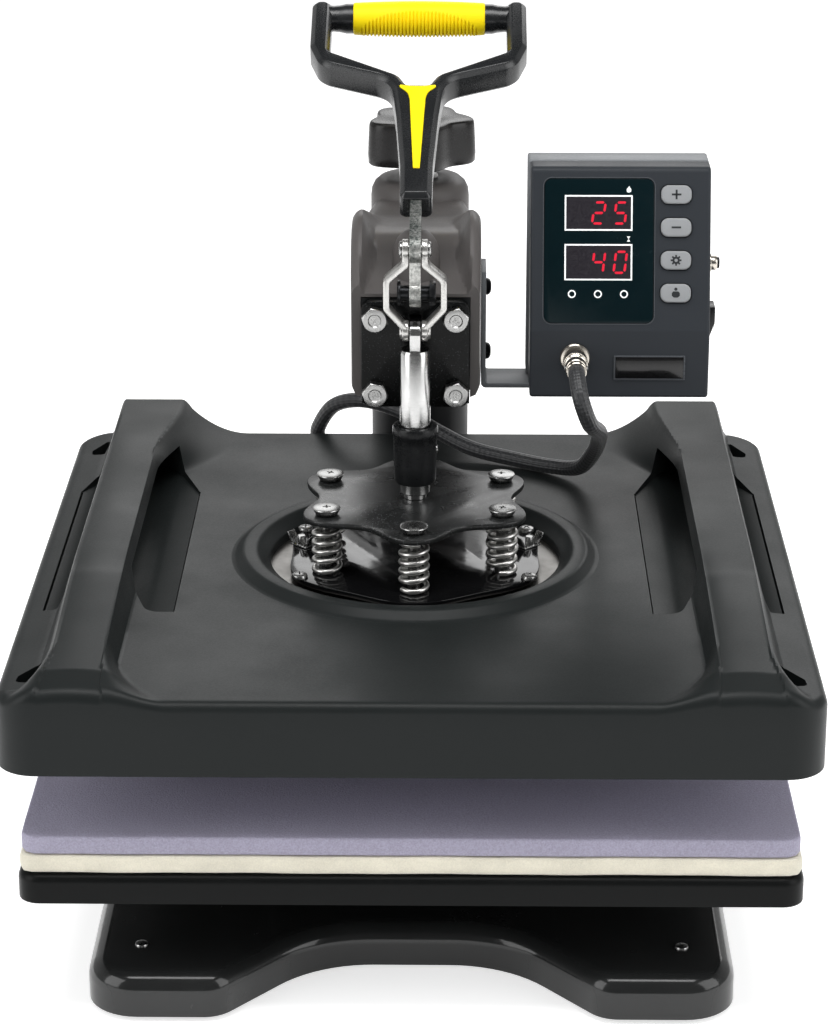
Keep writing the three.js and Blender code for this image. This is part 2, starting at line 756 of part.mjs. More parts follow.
function slotRoom(side) {
  const [a, b] = [side * SLOT_INNER_X, side * SLOT_OUTER_X].sort((p, q) => p - q);
  return block(a, b, -SLOT_FRONT, SLOT_BACK, DECK - SLOT_DEPTH, DECK + RIDGE_HEIGHT - GRIP_THICK);
}

const coverRoom = COVER_SIDE / 2 - COVER_WALL;
const deckRoom = SLOT_INNER_X - COVER_WALL;
const lowRoomTop = COVER_LOW + COVER_LOW_ROOM;
const postAt = COVER_SIDE / 2 - COVER_POST_INSET;
const coverPosts = [[1, 1], [-1, 1], [-1, -1], [1, -1]].map(([sx, sy]) => cylinderZ(
  COVER_POST_RADIUS, PLATEN_TOP + SEAT, lowRoomTop + OVERRUN, sx * postAt, sy * postAt, SMALL_SIDES));
const bezel = solid(turned([
  [HOLE_RADIUS, DECK - BEZEL_DEPTH],
  [BEZEL_RADIUS, DECK - BEZEL_DEPTH],
  [BEZEL_RADIUS, DECK],
  [(BEZEL_RADIUS + BEZEL_CREST_RADIUS) / 2, DECK + BEZEL_HEIGHT * BEZEL_BACK_SHARE],
  [BEZEL_CREST_RADIUS, DECK + BEZEL_HEIGHT],
  [HOLE_RADIUS + BEZEL_DEPTH, DECK + BEZEL_HEIGHT / 2],
  [HOLE_RADIUS, DECK - BEZEL_DEPTH * BEZEL_LIP_SHARE],
  [HOLE_RADIUS, DECK - BEZEL_DEPTH],
], FINE_SIDES));
const coverBlock = cut(
  joined(slab(COVER_SIDE, COVER_CORNER, COVER_LOW, DECK, COVER_ROUND), ridge(-1), ridge(1)),
  room(coverRoom, COVER_CORNER - COVER_WALL, COVER_LOW - OVERRUN, lowRoomTop),
  block(-deckRoom, deckRoom, -coverRoom, coverRoom, COVER_LOW - OVERRUN, DECK - COVER_WALL),
  cylinderZ(HOLE_RADIUS, COVER_LOW, DECK + OVERRUN, 0, 0, FINE_SIDES),
  slotRoom(-1),
  slotRoom(1),
);
piece('platen_cover', joined(coverBlock, bezel, ...coverPosts), 'coverPlastic');

// Suspension plate under the springs and spider plate above them
const suspension = wavy(SUSPENSION_RADIUS, SUSPENSION_WAVE, BOLT_COUNT, lobeStart, FINE_SIDES);
const spider = wavy(SPIDER_RADIUS, SPIDER_WAVE, BOLT_COUNT, lobeStart, FINE_SIDES);
piece('suspension_plate', cut(
  prismZ(suspension, SUSPENSION_LOW, DECK),
  ...holesAt(BOLT_RADIUS + RUN, SUSPENSION_LOW - OVERRUN, DECK + OVERRUN),
), 'blackPaint');
piece('spider_plate', cut(
  prismZ(spider, SPIDER_LOW, SPIDER_TOP),
  ...holesAt(BOLT_RADIUS + RUN, SPIDER_LOW - OVERRUN, SPIDER_TOP + OVERRUN),
  cylinderZ(ROD_STUD_RADIUS + SEAT, SPIDER_LOW - OVERRUN, SPIDER_TOP + OVERRUN),
), 'satinBlack');

// Compression spring: one unbroken wound tube whose ends stand square on the plates
function spring(low, high, x, y) {
  const wire = SPRING_WIRE / 2;
  const count = Math.round(SPRING_TURNS * SPRING_STEPS);
  const lowTurn = low + SPRING_WIRE;
  const highTurn = high - SPRING_WIRE;
  const path = [[0, low, 1], [0, low + wire, 1]];
  for (let k = 0; k <= count; k += 1) {
    path.push([k / SPRING_STEPS * 2 * Math.PI, lowTurn + (highTurn - lowTurn) * k / count, 0]);
  }
  const last = SPRING_TURNS * 2 * Math.PI;
  path.push([last, high - wire, 1], [last, high, 1]);
  const climb = Math.atan2(highTurn - lowTurn, SPRING_TURNS * 2 * Math.PI * SPRING_RADIUS);
  const rings = path.map(([angle, z, upright], k) => {
    const outward = new THREE.Vector3(Math.cos(angle), Math.sin(angle), 0);
    const ends = k === 2 || k === path.length - 3;
    const pitch = upright ? Math.PI / 2 : ends ? Math.PI / 4 : climb;
    const along = new THREE.Vector3(-Math.sin(angle), Math.cos(angle), 0).multiplyScalar(Math.cos(pitch));
    along.z = Math.sin(pitch);
    const across = outward.clone().cross(along);
    return Array.from({ length: SPRING_SIDES }, (_, i) => {
      const turn = i / SPRING_SIDES * 2 * Math.PI;
      const point = outward.clone().multiplyScalar(SPRING_RADIUS + wire * Math.cos(turn));
      point.addScaledVector(across, wire * Math.sin(turn)).add(new THREE.Vector3(x, y, z));
      return point.toArray();
    });
  });
  return { geometry: loft(rings), centres: path.map(([angle, z]) => [angle, z]), wire };
}

// Least gap between turns that lie at least half a turn apart on the wire
function leastGap({ centres, wire }) {
  let least = Infinity;
  const at = ([angle, z]) => new THREE.Vector3(
    SPRING_RADIUS * Math.cos(angle), SPRING_RADIUS * Math.sin(angle), z);
  centres.forEach((p, i) => centres.slice(i + 1).forEach((q) => {
    if (Math.abs(q[0] - p[0]) < Math.PI) return;
    least = Math.min(least, at(p).distanceTo(at(q)) - 2 * wire);
  }));
  return least;
}

const headLow = SPIDER_TOP + SEAT;
boltPlaces.forEach(([x, y], i) => {
  const coil = spring(DECK + SEAT, SPIDER_LOW - SEAT, x, y);
  if (i === 0) console.log(`least gap in a spring: ${leastGap(coil).toFixed(2)} mm`);
  piece(`spring_${i + 1}`, solid(coil.geometry), 'steel');
  piece(`shoulder_bolt_${i + 1}`, joined(
    cylinderZ(BOLT_RADIUS, threadLow + SEAT, headLow + OVERRUN, x, y, SMALL_SIDES),
    cylinderZ(BOLT_HEAD_RADIUS, headLow, headLow + BOLT_HEAD_HEIGHT, x, y, SIDES,
      BOLT_HEAD_RADIUS * HEAD_TOP_SHARE),
  ), 'steel');
});

// Ram: a polished rod that stands on the spider plate, with a blade on top for the links
const rodFoot = SPIDER_TOP + SEAT;
const studLow = SPIDER_LOW - ROD_STUD_LENGTH;
const blade = BLADE_THICK / 2;
piece('ram_rod', joined(
  cylinderZ(ROD_STUD_RADIUS, studLow, rodFoot + OVERRUN),
  cylinderZ(ROD_FOOT_RADIUS, rodFoot, SLEEVE_LOW + OVERRUN),
  cylinderZ(ROD_RADIUS, SLEEVE_LOW, ROD_TOP),
  block(-blade, blade, -BLADE_FRONT, BLADE_FRONT, ROD_TOP - OVERRUN, PIN_C_Z),
  block(-blade, blade, 0, BLADE_BACK, BLADE_TAIL_LOW, BLADE_TAIL_HIGH),
  cylinderX(BLADE_EYE_RADIUS, -blade, blade, 0, PIN_C_Z),
), 'steel');
piece('coupling_sleeve', cut(
  cylinderZ(SLEEVE_RADIUS - SLEEVE_TAPER, SLEEVE_LOW, SLEEVE_HIGH, 0, 0, SIDES, SLEEVE_RADIUS),
  cylinderZ(ROD_RADIUS + SEAT, SLEEVE_LOW - OVERRUN, SLEEVE_HIGH + OVERRUN),
), 'satinBlack');

// Clamp bracket: a plate with a slot for the blade, two ears for pivot A and two guide cheeks
const bracketBack = BRACKET_Y + BRACKET_THICK;
const bladeSlot = blade + RUN;
const slotTop = BLADE_TAIL_HIGH + 2 * OVERRUN;
const bracketMiddle = (BRACKET_LOW + BRACKET_HIGH) / 2;
const bracketPlate = prismY(
  roundedRectangle(BRACKET_WIDTH / 2, (BRACKET_HIGH - BRACKET_LOW) / 2, BRACKET_CORNER)
    .map(([x, z]) => [x, z + bracketMiddle]), BRACKET_Y, bracketBack);
const earRoot = bracketBack - OVERRUN;
const ears = [-1, 1].map((side) => {
  const [left, right] = [side * EAR_GAP, side * (EAR_GAP + EAR_THICK)].sort((a, b) => a - b);
  return joined(
    cylinderX(EAR_RADIUS, left, right, 0, PIVOT_Z),
    prismX([
      [0, PIVOT_Z - EAR_RADIUS],
      [earRoot, BRACKET_HIGH - EAR_ROOT_RISE],
      [earRoot, PIVOT_Z + EAR_ROOT_RISE],
      [0, PIVOT_Z + EAR_RADIUS],
    ], left, right),
  );
});
const cheeks = [-1, 1].map((side) => {
  const [left, right] = [side * bladeSlot, side * (bladeSlot + CHEEK_WIDTH)].sort((a, b) => a - b);
  return block(left, right, bracketBack - OVERRUN, bracketBack + CHEEK_DEPTH,
    BRACKET_LOW - CHEEK_DROP, BRACKET_HIGH - EAR_ROOT_RISE);
});
const plateBolts = [[-1, PLATE_BOLT_LOW], [1, PLATE_BOLT_LOW], [-1, PLATE_BOLT_HIGH], [1, PLATE_BOLT_HIGH]];
const flangeBack = FLANGE_FRONT + FLANGE_THICK;
const boltHoles = plateBolts.map(([side, z]) => cylinderY(
  PLATE_BOLT_RADIUS + SEAT, BRACKET_Y - OVERRUN, flangeBack + OVERRUN, side * PLATE_BOLT_X, z, SMALL_SIDES));
const earSpan = EAR_GAP + EAR_THICK;
piece('toggle_bracket', cut(
  joined(bracketPlate, ...ears, ...cheeks),
  block(-bladeSlot, bladeSlot, BRACKET_Y - OVERRUN, bracketBack + CHEEK_DEPTH + OVERRUN,
    BRACKET_LOW - OVERRUN, slotTop),
  ...boltHoles,
  cylinderX(PIVOT_RADIUS + RUN, -earSpan - OVERRUN, earSpan + OVERRUN, 0, PIVOT_Z),
), 'blackPaint');
plateBolts.forEach(([side, z], i) => {
  const x = side * PLATE_BOLT_X;
  const headFront = BRACKET_Y - SEAT - WASHER_THICK - PLATE_BOLT_HEAD_THICK;
  const washerFront = BRACKET_Y - SEAT - WASHER_THICK;
  piece(`plate_bolt_${i + 1}`, joined(
    cylinderY(PLATE_BOLT_HEAD, headFront, washerFront + OVERRUN / 2, x, z, HEX_SIDES),
    cylinderY(WASHER_RADIUS, washerFront, BRACKET_Y - SEAT, x, z),
    cylinderY(PLATE_BOLT_RADIUS, washerFront, flangeBack, x, z, SMALL_SIDES),
  ), 'steel');
});

// Swing arm: front flange, hollow beam, and a spigot that turns in the column
const cheekRoom = bladeSlot + CHEEK_WIDTH + SEAT;
const spigotRadius = COLUMN_RADIUS - COLUMN_WALL - RUN;
piece('swing_arm', cut(
  joined(
    block(-BRACKET_WIDTH / 2, BRACKET_WIDTH / 2, FLANGE_FRONT, flangeBack, BRACKET_LOW, BRACKET_HIGH),
    block(-BEAM_HALF_WIDTH, BEAM_HALF_WIDTH, flangeBack - OVERRUN, COLUMN_Y, BEAM_LOW, BEAM_HIGH),
    cylinderZ(spigotRadius, COLUMN_TOP - SPIGOT_DEPTH, BEAM_HIGH, 0, COLUMN_Y, FINE_SIDES),
    cylinderZ(COLLAR_RADIUS - RUN, COLUMN_TOP + SEAT, BEAM_LOW + OVERRUN, 0, COLUMN_Y, FINE_SIDES),
  ),
  block(-cheekRoom, cheekRoom, FLANGE_FRONT - OVERRUN, flangeBack + OVERRUN,
    BRACKET_LOW - OVERRUN, BRACKET_HIGH - EAR_ROOT_RISE + SEAT),
  block(BEAM_WALL - BEAM_HALF_WIDTH, BEAM_HALF_WIDTH - BEAM_WALL, flangeBack,
    COLUMN_Y - spigotRadius, BEAM_LOW + BEAM_WALL, BEAM_HIGH - BEAM_WALL),
  ...boltHoles,
  cylinderZ(SCREW_RADIUS + RUN, BEAM_HIGH - SCREW_DEPTH - SEAT, BEAM_HIGH + OVERRUN,
    0, COLUMN_Y, SMALL_SIDES),
), 'satinBlack');

// Arm cover: a moulded shell over the beam that ends in a round drum above the column
function armLoft(wall) {
  const length = COLUMN_Y - ARM_FRONT;
  return solid(loft(ARM_STATION_SHARES.map(([along, width, crest, valley, middle], i) => {
    const y = ARM_FRONT + length * along + (i === 0 ? wall : 0);
    const half = ARM_HALF_WIDTH * width - wall;
    const low = wall > 0 ? ARM_LOW - OVERRUN : ARM_LOW;
    const top = ARM_LOW + ARM_HEIGHT * crest - wall;
    const dip = ARM_LOW + ARM_HEIGHT * valley - wall;
    const ring = [
      [half - ARM_LOW_CHAMFER, low],
      [half, low + ARM_LOW_CHAMFER],
      [half, top - ARM_SHOULDER],
      [half - ARM_SHOULDER / 2, top],
      [half * middle + ARM_SHOULDER / 2, dip],
    ];
    return mirrored(ring).map(([x, z]) => [x, y, z]);
  })));
}

function armDrum(wall) {
  const radius = COLUMN_RADIUS - wall;
  const top = DRUM_TOP - wall;
  const low = wall > 0 ? ARM_LOW - OVERRUN : ARM_LOW;
  return solid(turned([
    [0, low],
    [radius, low],
    [radius, top - DRUM_ROUND],
    [radius - DRUM_ROUND * DRUM_BREAK_SHARE, top - DRUM_ROUND * DRUM_BREAK_SHARE],
    [radius - DRUM_ROUND, top],
    [0, top],
  ], FINE_SIDES).translate(0, COLUMN_Y, 0));
}

const windowHalf = BRACKET_WIDTH / 2 + SEAT;
piece('arm_cover', cut(
  joined(armLoft(0), armDrum(0)),
  armLoft(ARM_WALL),
  armDrum(ARM_WALL),
  block(-windowHalf, windowHalf, ARM_FRONT - OVERRUN, flangeBack, ARM_LOW - OVERRUN, BRACKET_HIGH + SEAT),
  cylinderZ(SCREW_RADIUS + RUN, DRUM_TOP - ARM_WALL - OVERRUN, DRUM_TOP + OVERRUN, 0, COLUMN_Y, SMALL_SIDES),
), 'armPlastic');

// Pressure knob on its screw, which goes down into the spigot
const knobOutline = wavy(KNOB_RADIUS, KNOB_WAVE, KNOB_LOBES, KNOB_START, KNOB_LOBES * LOBE_STEPS);
const [knobBreak, knobRim] = KNOB_TOP_SHARES;
const knobRings = [
  [1, 0],
  [1, KNOB_HEIGHT - KNOB_ROUND],
  [knobBreak, KNOB_HEIGHT - KNOB_ROUND * KNOB_BREAK_SHARE],
  [knobRim, KNOB_HEIGHT],
];
piece('pressure_knob', solid(loft(knobRings.map(([share, rise]) => knobOutline.map(
  ([x, y]) => [x * share, y * share + COLUMN_Y, KNOB_LOW + rise])))), 'armPlastic');
piece('pressure_screw', joined(
  cylinderZ(SCREW_RADIUS, BEAM_HIGH - SCREW_DEPTH, KNOB_LOW - SEAT, 0, COLUMN_Y, SMALL_SIDES),
  cylinderZ(SCREW_NUT_RADIUS, KNOB_LOW - SEAT - SCREW_NUT_THICK, KNOB_LOW - SEAT, 0, COLUMN_Y, HEX_SIDES),
), 'steel');

// Lever: pivot eye, crank eye and the flat bar that goes up into the yoke
const leverHalf = LEVER_THICK / 2;
const lean = (geometry) => geometry.rotateX(HANDLE_LEAN).translate(0, 0, PIN_B_Z);
function leverBox(halfX, low, high, halfHeight) {
  const geometry = new THREE.BoxGeometry(2 * halfX, high - low, 2 * halfHeight);
  return solid(lean(geometry.translate(0, (low + high) / 2, 0)));
}
piece('lever_bar', cut(
  joined(
    cylinderX(LEVER_EYE_RADIUS, -leverHalf, leverHalf, 0, PIVOT_Z),
    cylinderX(LEVER_EYE_RADIUS, -leverHalf, leverHalf, 0, PIN_B_Z),
    block(-leverHalf, leverHalf, -LEVER_BAR_HEIGHT / 2, LEVER_BAR_HEIGHT / 2, PIVOT_Z, PIN_B_Z),
    leverBox(leverHalf, 0, LEVER_REACH, LEVER_BAR_HEIGHT / 2),
  ),
  cylinderX(PIVOT_RADIUS + RUN, -LEVER_THICK, LEVER_THICK, 0, PIVOT_Z),
  cylinderX(LINK_PIN_RADIUS + SEAT, -LEVER_THICK, LEVER_THICK, 0, PIN_B_Z),
), 'steel');

// Pivot A: a bolt through the ears and the lever, with a head and a nut
const pinEnd = earSpan + SEAT;
piece('lever_pin', joined(
  cylinderX(PIVOT_RADIUS, -pinEnd - RIVET_HEIGHT, pinEnd + RIVET_HEIGHT, 0, PIVOT_Z, SIDES),
  cylinderX(EAR_RADIUS - SEAT, -pinEnd - RIVET_HEIGHT, -pinEnd, 0, PIVOT_Z, SIDES),
  cylinderX(EAR_RADIUS - SEAT, pinEnd, pinEnd + RIVET_HEIGHT * 2, 0, PIVOT_Z, HEX_SIDES),
), 'steel');

// Pin B: a rivet through the lever and both links
const linkOut = LINK_INSIDE + LINK_THICK;
const rivetEnd = linkOut + SEAT + RIVET_HEIGHT;
piece('link_pin', joined(
  cylinderX(LINK_PIN_RADIUS, -rivetEnd, rivetEnd, 0, PIN_B_Z, SMALL_SIDES),
  cylinderX(RIVET_RADIUS, -rivetEnd, -linkOut - SEAT, 0, PIN_B_Z, SMALL_SIDES),
  cylinderX(RIVET_RADIUS, linkOut + SEAT, rivetEnd, 0, PIN_B_Z, SMALL_SIDES),
), 'steel');

// Links: bent flat bars that bow out round the ears and close in again at the ram's blade
function link(side) {
  const path = [
    [LINK_INSIDE, PIN_B_Z],
    [LINK_INSIDE, PIN_B_Z - LINK_BEND_TOP_HIGH],
    [LINK_BOW, PIN_B_Z - LINK_BEND_TOP_LOW],
    [LINK_BOW, PIN_C_Z + LINK_BEND_FOOT_HIGH],
    [LINK_INSIDE, PIN_C_Z + LINK_BEND_FOOT_LOW],
    [LINK_INSIDE, PIN_C_Z],
  ];
  const outline = [...path, ...path.slice().reverse().map(([x, z]) => [x + LINK_THICK, z])];
  const strip = prismY(outline.map(([x, z]) => [side * x, z]), -LINK_DEPTH / 2, LINK_DEPTH / 2);
  const [left, right] = [side * LINK_INSIDE, side * linkOut].sort((a, b) => a - b);
  const headOut = side * (linkOut + RIVET_HEIGHT);
  return cut(
    joined(
      strip,
      cylinderX(LINK_EYE_RADIUS, left, right, 0, PIN_B_Z, SMALL_SIDES),
      cylinderX(LINK_EYE_RADIUS, left, right, 0, PIN_C_Z, SMALL_SIDES),
      cylinderX(RIVET_RADIUS, Math.min(left, headOut), Math.max(right, headOut), 0, PIN_C_Z, SMALL_SIDES),
    ),
    cylinderX(LINK_PIN_RADIUS + RUN, left - OVERRUN, right + OVERRUN, 0, PIN_B_Z, SMALL_SIDES),
  );
}
piece('link_left', link(-1), 'steel');
piece('link_right', link(1), 'steel');

// Yoke with its posts and the core between them, moulded in one piece
const yokeOutline = filleted(mirrored(YOKE_OUTLINE_SHARES.map(([across, along, corner]) => [
  across * YOKE_HALF_WIDTH, along * YOKE_END, corner * YOKE_HALF_WIDTH])), 3);
const yokeBody = solid(lean(extruded(yokeOutline, YOKE_THICK - 2 * YOKE_CHAMFER, {
  bevelEnabled: true,
  bevelSize: YOKE_CHAMFER,
  bevelOffset: -YOKE_CHAMFER,
  bevelThickness: YOKE_CHAMFER,
  bevelSegments: 1,
}).translate(0, 0, YOKE_CHAMFER - YOKE_THICK / 2)));
const inlayOutline = mirrored(INLAY_OUTLINE_SHARES.map(([across, along]) => [
  across * YOKE_HALF_WIDTH, along * YOKE_END]));
const postInside = YOKE_HALF_WIDTH - POST_WIDTH;
const gripY = (radius, half) => new THREE.CylinderGeometry(radius, radius, 2 * half, SIDES)
  .rotateZ(Math.PI / 2);
const core = joined(
  solid(lean(gripY(GRIP_END_RADIUS, postInside + OVERRUN).translate(0, GRIP_AXIS, 0))),
  solid(lean(gripY(GRIP_CORE_RADIUS, GRIP_HALF_LENGTH + OVERRUN).translate(0, GRIP_AXIS, 0))),
);
const recess = solid(lean(extruded(grown(inlayOutline, SEAT), INLAY_DEPTH + OVERRUN)
  .translate(0, 0, YOKE_THICK / 2 - INLAY_DEPTH)));
piece('handle_yoke', cut(
  joined(yokeBody, core),
  recess,
  leverBox(leverHalf + SEAT, YOKE_FOOT - OVERRUN, LEVER_REACH + SEAT, LEVER_BAR_HEIGHT / 2 + SEAT),
), 'yokeBlack');
const inlay = solid(lean(extruded(inlayOutline, INLAY_DEPTH + INLAY_PROUD - SEAT)
  .translate(0, 0, YOKE_THICK / 2 - INLAY_DEPTH + SEAT)));
piece('handle_inlay', inlay, 'yellow');

// Soft sleeve on the core, thickest in the middle
const sleeveRoom = GRIP_CORE_RADIUS + SEAT;
const sleeveProfile = [
  [sleeveRoom, -GRIP_HALF_LENGTH],
  [GRIP_EDGE_RADIUS, -GRIP_HALF_LENGTH],
  [GRIP_RADIUS, -GRIP_HALF_LENGTH * GRIP_WAIST_SHARE],
  [GRIP_RADIUS, GRIP_HALF_LENGTH * GRIP_WAIST_SHARE],
  [GRIP_EDGE_RADIUS, GRIP_HALF_LENGTH],
  [sleeveRoom, GRIP_HALF_LENGTH],
  [sleeveRoom, -GRIP_HALF_LENGTH],
];
const sleeve = turned(sleeveProfile).rotateY(Math.PI / 2).translate(0, GRIP_AXIS, 0);
piece('handle_grip', solid(lean(sleeve)), 'yellow');

// Control box: a front shell with a leaning face, and a metal pan behind it
const faceRise = BOX_HEIGHT - BOX_LIP_HEIGHT;
const faceLength = Math.hypot(BOX_FACE_RUN, faceRise);
const faceUp = new THREE.Vector3(0, BOX_FACE_RUN / faceLength, faceRise / faceLength);
const faceOut = new THREE.Vector3(1, 0, 0).cross(faceUp);
const faceCentre = (BOX_LEFT + BOX_RIGHT) / 2;
const onFace = (geometry) => geometry.applyMatrix4(new THREE.Matrix4().makeBasis(
  new THREE.Vector3(1, 0, 0), faceUp, faceOut)).translate(faceCentre, BOX_FRONT, BOX_LOW + BOX_LIP_HEIGHT);
function faceTile(width, height, corner, u, v, low, high) {
  const outline = roundedRectangle(width / 2, height / 2, corner).map(([x, y]) => [x + u, y + v]);
  return solid(onFace(extruded(outline, high - low).translate(0, 0, low)));
}
function boxProfile(wall) {
  const open = wall > 0 ? OVERRUN : 0;
  return filleted([
    [BOX_SPLIT + open, BOX_LOW + wall],
    [BOX_SPLIT + open, BOX_LOW + BOX_HEIGHT - wall],
    [BOX_FRONT + BOX_FACE_RUN + wall / 2, BOX_LOW + BOX_HEIGHT - wall, BOX_ROUND],
    [BOX_FRONT + wall, BOX_LOW + BOX_LIP_HEIGHT, BOX_ROUND],
    [BOX_FRONT + wall, BOX_LOW + wall, wall > 0 ? 0 : BOX_ROUND / 2],
  ]);
}
const buttonNames = ['button_timer', 'button_mode', 'button_minus', 'button_plus'];
const buttonTile = (i, slack, low, high) => faceTile(BUTTON_WIDTH + 2 * slack, BUTTON_HEIGHT + 2 * slack,
  BUTTON_CORNER + slack, BUTTON_U, BUTTON_V + i * BUTTON_PITCH, low, high);
const switchTilt = (geometry) => geometry.rotateY(SWITCH_TILT).translate(BOX_RIGHT, SWITCH_Y, SWITCH_Z);
const switchRoom = SWITCH_HEIGHT / 2 + SEAT;
piece('control_case', cut(
  prismX(boxProfile(0), BOX_LEFT, BOX_RIGHT),
  prismX(boxProfile(BOX_WALL), BOX_LEFT + BOX_WALL, BOX_RIGHT - BOX_WALL),
  faceTile(WINDOW_WIDTH + 2 * SEAT, WINDOW_HEIGHT + 2 * SEAT, WINDOW_CORNER + SEAT,
    WINDOW_U, WINDOW_V, -WINDOW_THICK, OVERRUN),
  ...buttonNames.map((_, i) => buttonTile(i, RUN, -BUTTON_DEEP - OVERRUN, OVERRUN)),
  block(BOX_RIGHT - BOX_WALL - OVERRUN, BOX_RIGHT + OVERRUN, SWITCH_Y - SWITCH_WIDTH / 2 - RUN,
    SWITCH_Y + SWITCH_WIDTH / 2 + RUN, SWITCH_Z - switchRoom, SWITCH_Z + switchRoom),
), 'boxPlastic');
buttonNames.forEach((name, i) => piece(name, buttonTile(i, 0, -BUTTON_DEEP, BUTTON_PROUD), 'buttonGrey'));
piece('display_window', faceTile(WINDOW_WIDTH, WINDOW_HEIGHT, WINDOW_CORNER,
  WINDOW_U, WINDOW_V, SEAT - WINDOW_THICK, 0), 'glass');

const panLow = BOX_LOW;
const panHigh = BOX_LOW + BOX_HEIGHT;
piece('control_back', cut(
  block(BOX_LEFT - BOX_PROUD, BOX_RIGHT, BOX_SPLIT + SEAT, BOX_BACK, panLow, panHigh),
  block(BOX_LEFT - BOX_PROUD + BOX_WALL, BOX_RIGHT - BOX_WALL, BOX_SPLIT, BOX_BACK - BOX_WALL,
    panLow + BOX_WALL, panHigh - BOX_WALL),
), 'greyMetal');

// Rocker switch, tipped to its resting side, with a rounded back that clears the case
const rocker = SWITCH_HEIGHT / 2 - RUN * 2;
piece('switch_rocker', solid(switchTilt(extruded([
  [-SWITCH_DEEP, -rocker * ROCKER_FOOT_SHARE],
  [SWITCH_PROUD * ROCKER_TIP_SHARE, -rocker * ROCKER_END_SHARE],
  [SWITCH_PROUD / 2, 0],
  [SWITCH_PROUD * ROCKER_TIP_SHARE, rocker * ROCKER_END_SHARE],
  [-SWITCH_DEEP, rocker * ROCKER_FOOT_SHARE],
], SWITCH_WIDTH).rotateX(Math.PI / 2).translate(0, SWITCH_WIDTH / 2, 0))), 'satinBlack');
piece('fuse_holder', joined(
  cylinderX(FUSE_RADIUS, BOX_RIGHT + SEAT, BOX_RIGHT + SEAT + FUSE_LENGTH * FUSE_COLLAR_SHARE,
    FUSE_Y, FUSE_Z),
  cylinderX(FUSE_RADIUS * FUSE_CAP_SHARE, BOX_RIGHT + SEAT, BOX_RIGHT + FUSE_LENGTH, FUSE_Y, FUSE_Z),
), 'steel');
const inletLeft = faceCentre - INLET_WIDTH / 2;
const inletRim = INLET_THICK / 2;
piece('power_inlet', cut(
  block(inletLeft, inletLeft + INLET_WIDTH, BOX_BACK + SEAT, BOX_BACK + SEAT + INLET_THICK,
    INLET_Z - INLET_HEIGHT / 2, INLET_Z + INLET_HEIGHT / 2),
  block(inletLeft + inletRim, inletLeft + INLET_WIDTH - inletRim, BOX_BACK + SEAT + inletRim,
    BOX_BACK + INLET_THICK + OVERRUN, INLET_Z - INLET_HEIGHT / 2 + inletRim,
    INLET_Z + INLET_HEIGHT / 2 - inletRim),
), 'satinBlack');

// Angle bracket from the side of the arm to the floor of the control box
const angleLeft = ARM_HALF_WIDTH + SEAT;
const shelfTop = BOX_LOW - SEAT;
piece('control_bracket', joined(
  block(angleLeft, angleLeft + ANGLE_THICK, ANGLE_FRONT, ANGLE_BACK,
    shelfTop - ANGLE_THICK, shelfTop + ANGLE_HEIGHT),
  block(angleLeft, BOX_LEFT + ANGLE_REACH, ANGLE_FRONT, ANGLE_BACK, shelfTop - ANGLE_THICK, shelfTop),
), 'greyMetal');

// Round connector on the lip of the control box
const socketBack = BOX_FRONT - SEAT;
const socketFront = BOX_FRONT - SOCKET_LENGTH;
piece('cable_socket', joined(
  cylinderY(SOCKET_FLANGE_RADIUS, socketBack - SOCKET_FLANGE_THICK, socketBack, SOCKET_X, SOCKET_Z),
  cylinderY(SOCKET_RADIUS, socketFront, socketBack - OVERRUN, SOCKET_X, SOCKET_Z),
), 'steel');

// Elbow gland on the rear wall of the cover, with its nut pointing up
const glandFront = COVER_SIDE / 2 + SEAT;
const glandY = glandFront + GLAND_DEPTH / 2;
piece('cable_gland', joined(
  block(GLAND_X - GLAND_WIDTH / 2, GLAND_X + GLAND_WIDTH / 2, glandFront, glandFront + GLAND_DEPTH,
    GLAND_LOW, GLAND_HIGH),
  cylinderZ(GLAND_NUT_RADIUS, GLAND_HIGH - OVERRUN, GLAND_HIGH + GLAND_NUT_HEIGHT,
    GLAND_X, glandY, HEX_SIDES),
), 'rubber');

// Heater cable: a round section along its chosen route, square to the plug and to the gland
const cableStart = new THREE.Vector3(SOCKET_X, socketFront - SEAT, SOCKET_Z);
const cableEnd = new THREE.Vector3(GLAND_X, glandY, GLAND_HIGH + GLAND_NUT_HEIGHT + SEAT);
const route = new THREE.CatmullRomCurve3([
  cableStart,
  cableStart.clone().setY(cableStart.y - 2 * CABLE_RADIUS),
  ...CABLE_ROUTE.map((point) => new THREE.Vector3(...point)),
  cableEnd.clone().setZ(cableEnd.z + 2 * CABLE_RADIUS),
  cableEnd,
]);
const cableSection = new THREE.Shape(Array.from({ length: CABLE_SIDES }, (_, i) => {
  const angle = (i + 0.5) / CABLE_SIDES * 2 * Math.PI;
  return new THREE.Vector2(CABLE_RADIUS * Math.cos(angle), CABLE_RADIUS * Math.sin(angle));
}));
piece('heater_cable', new THREE.ExtrudeGeometry(cableSection, {
  steps: Math.round(route.getLength() / CABLE_STEP) * 2,
  bevelEnabled: false,
  extrudePath: route,
}), 'rubber');

// The origin goes under the middle of the box, on the table
const extent = new THREE.Box3().setFromObject(press);
press.position.set(0, -(extent.min.y + extent.max.y) / 2, 0);

export default press;
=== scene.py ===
from math import atan2, cos, hypot, pi, radians, sin

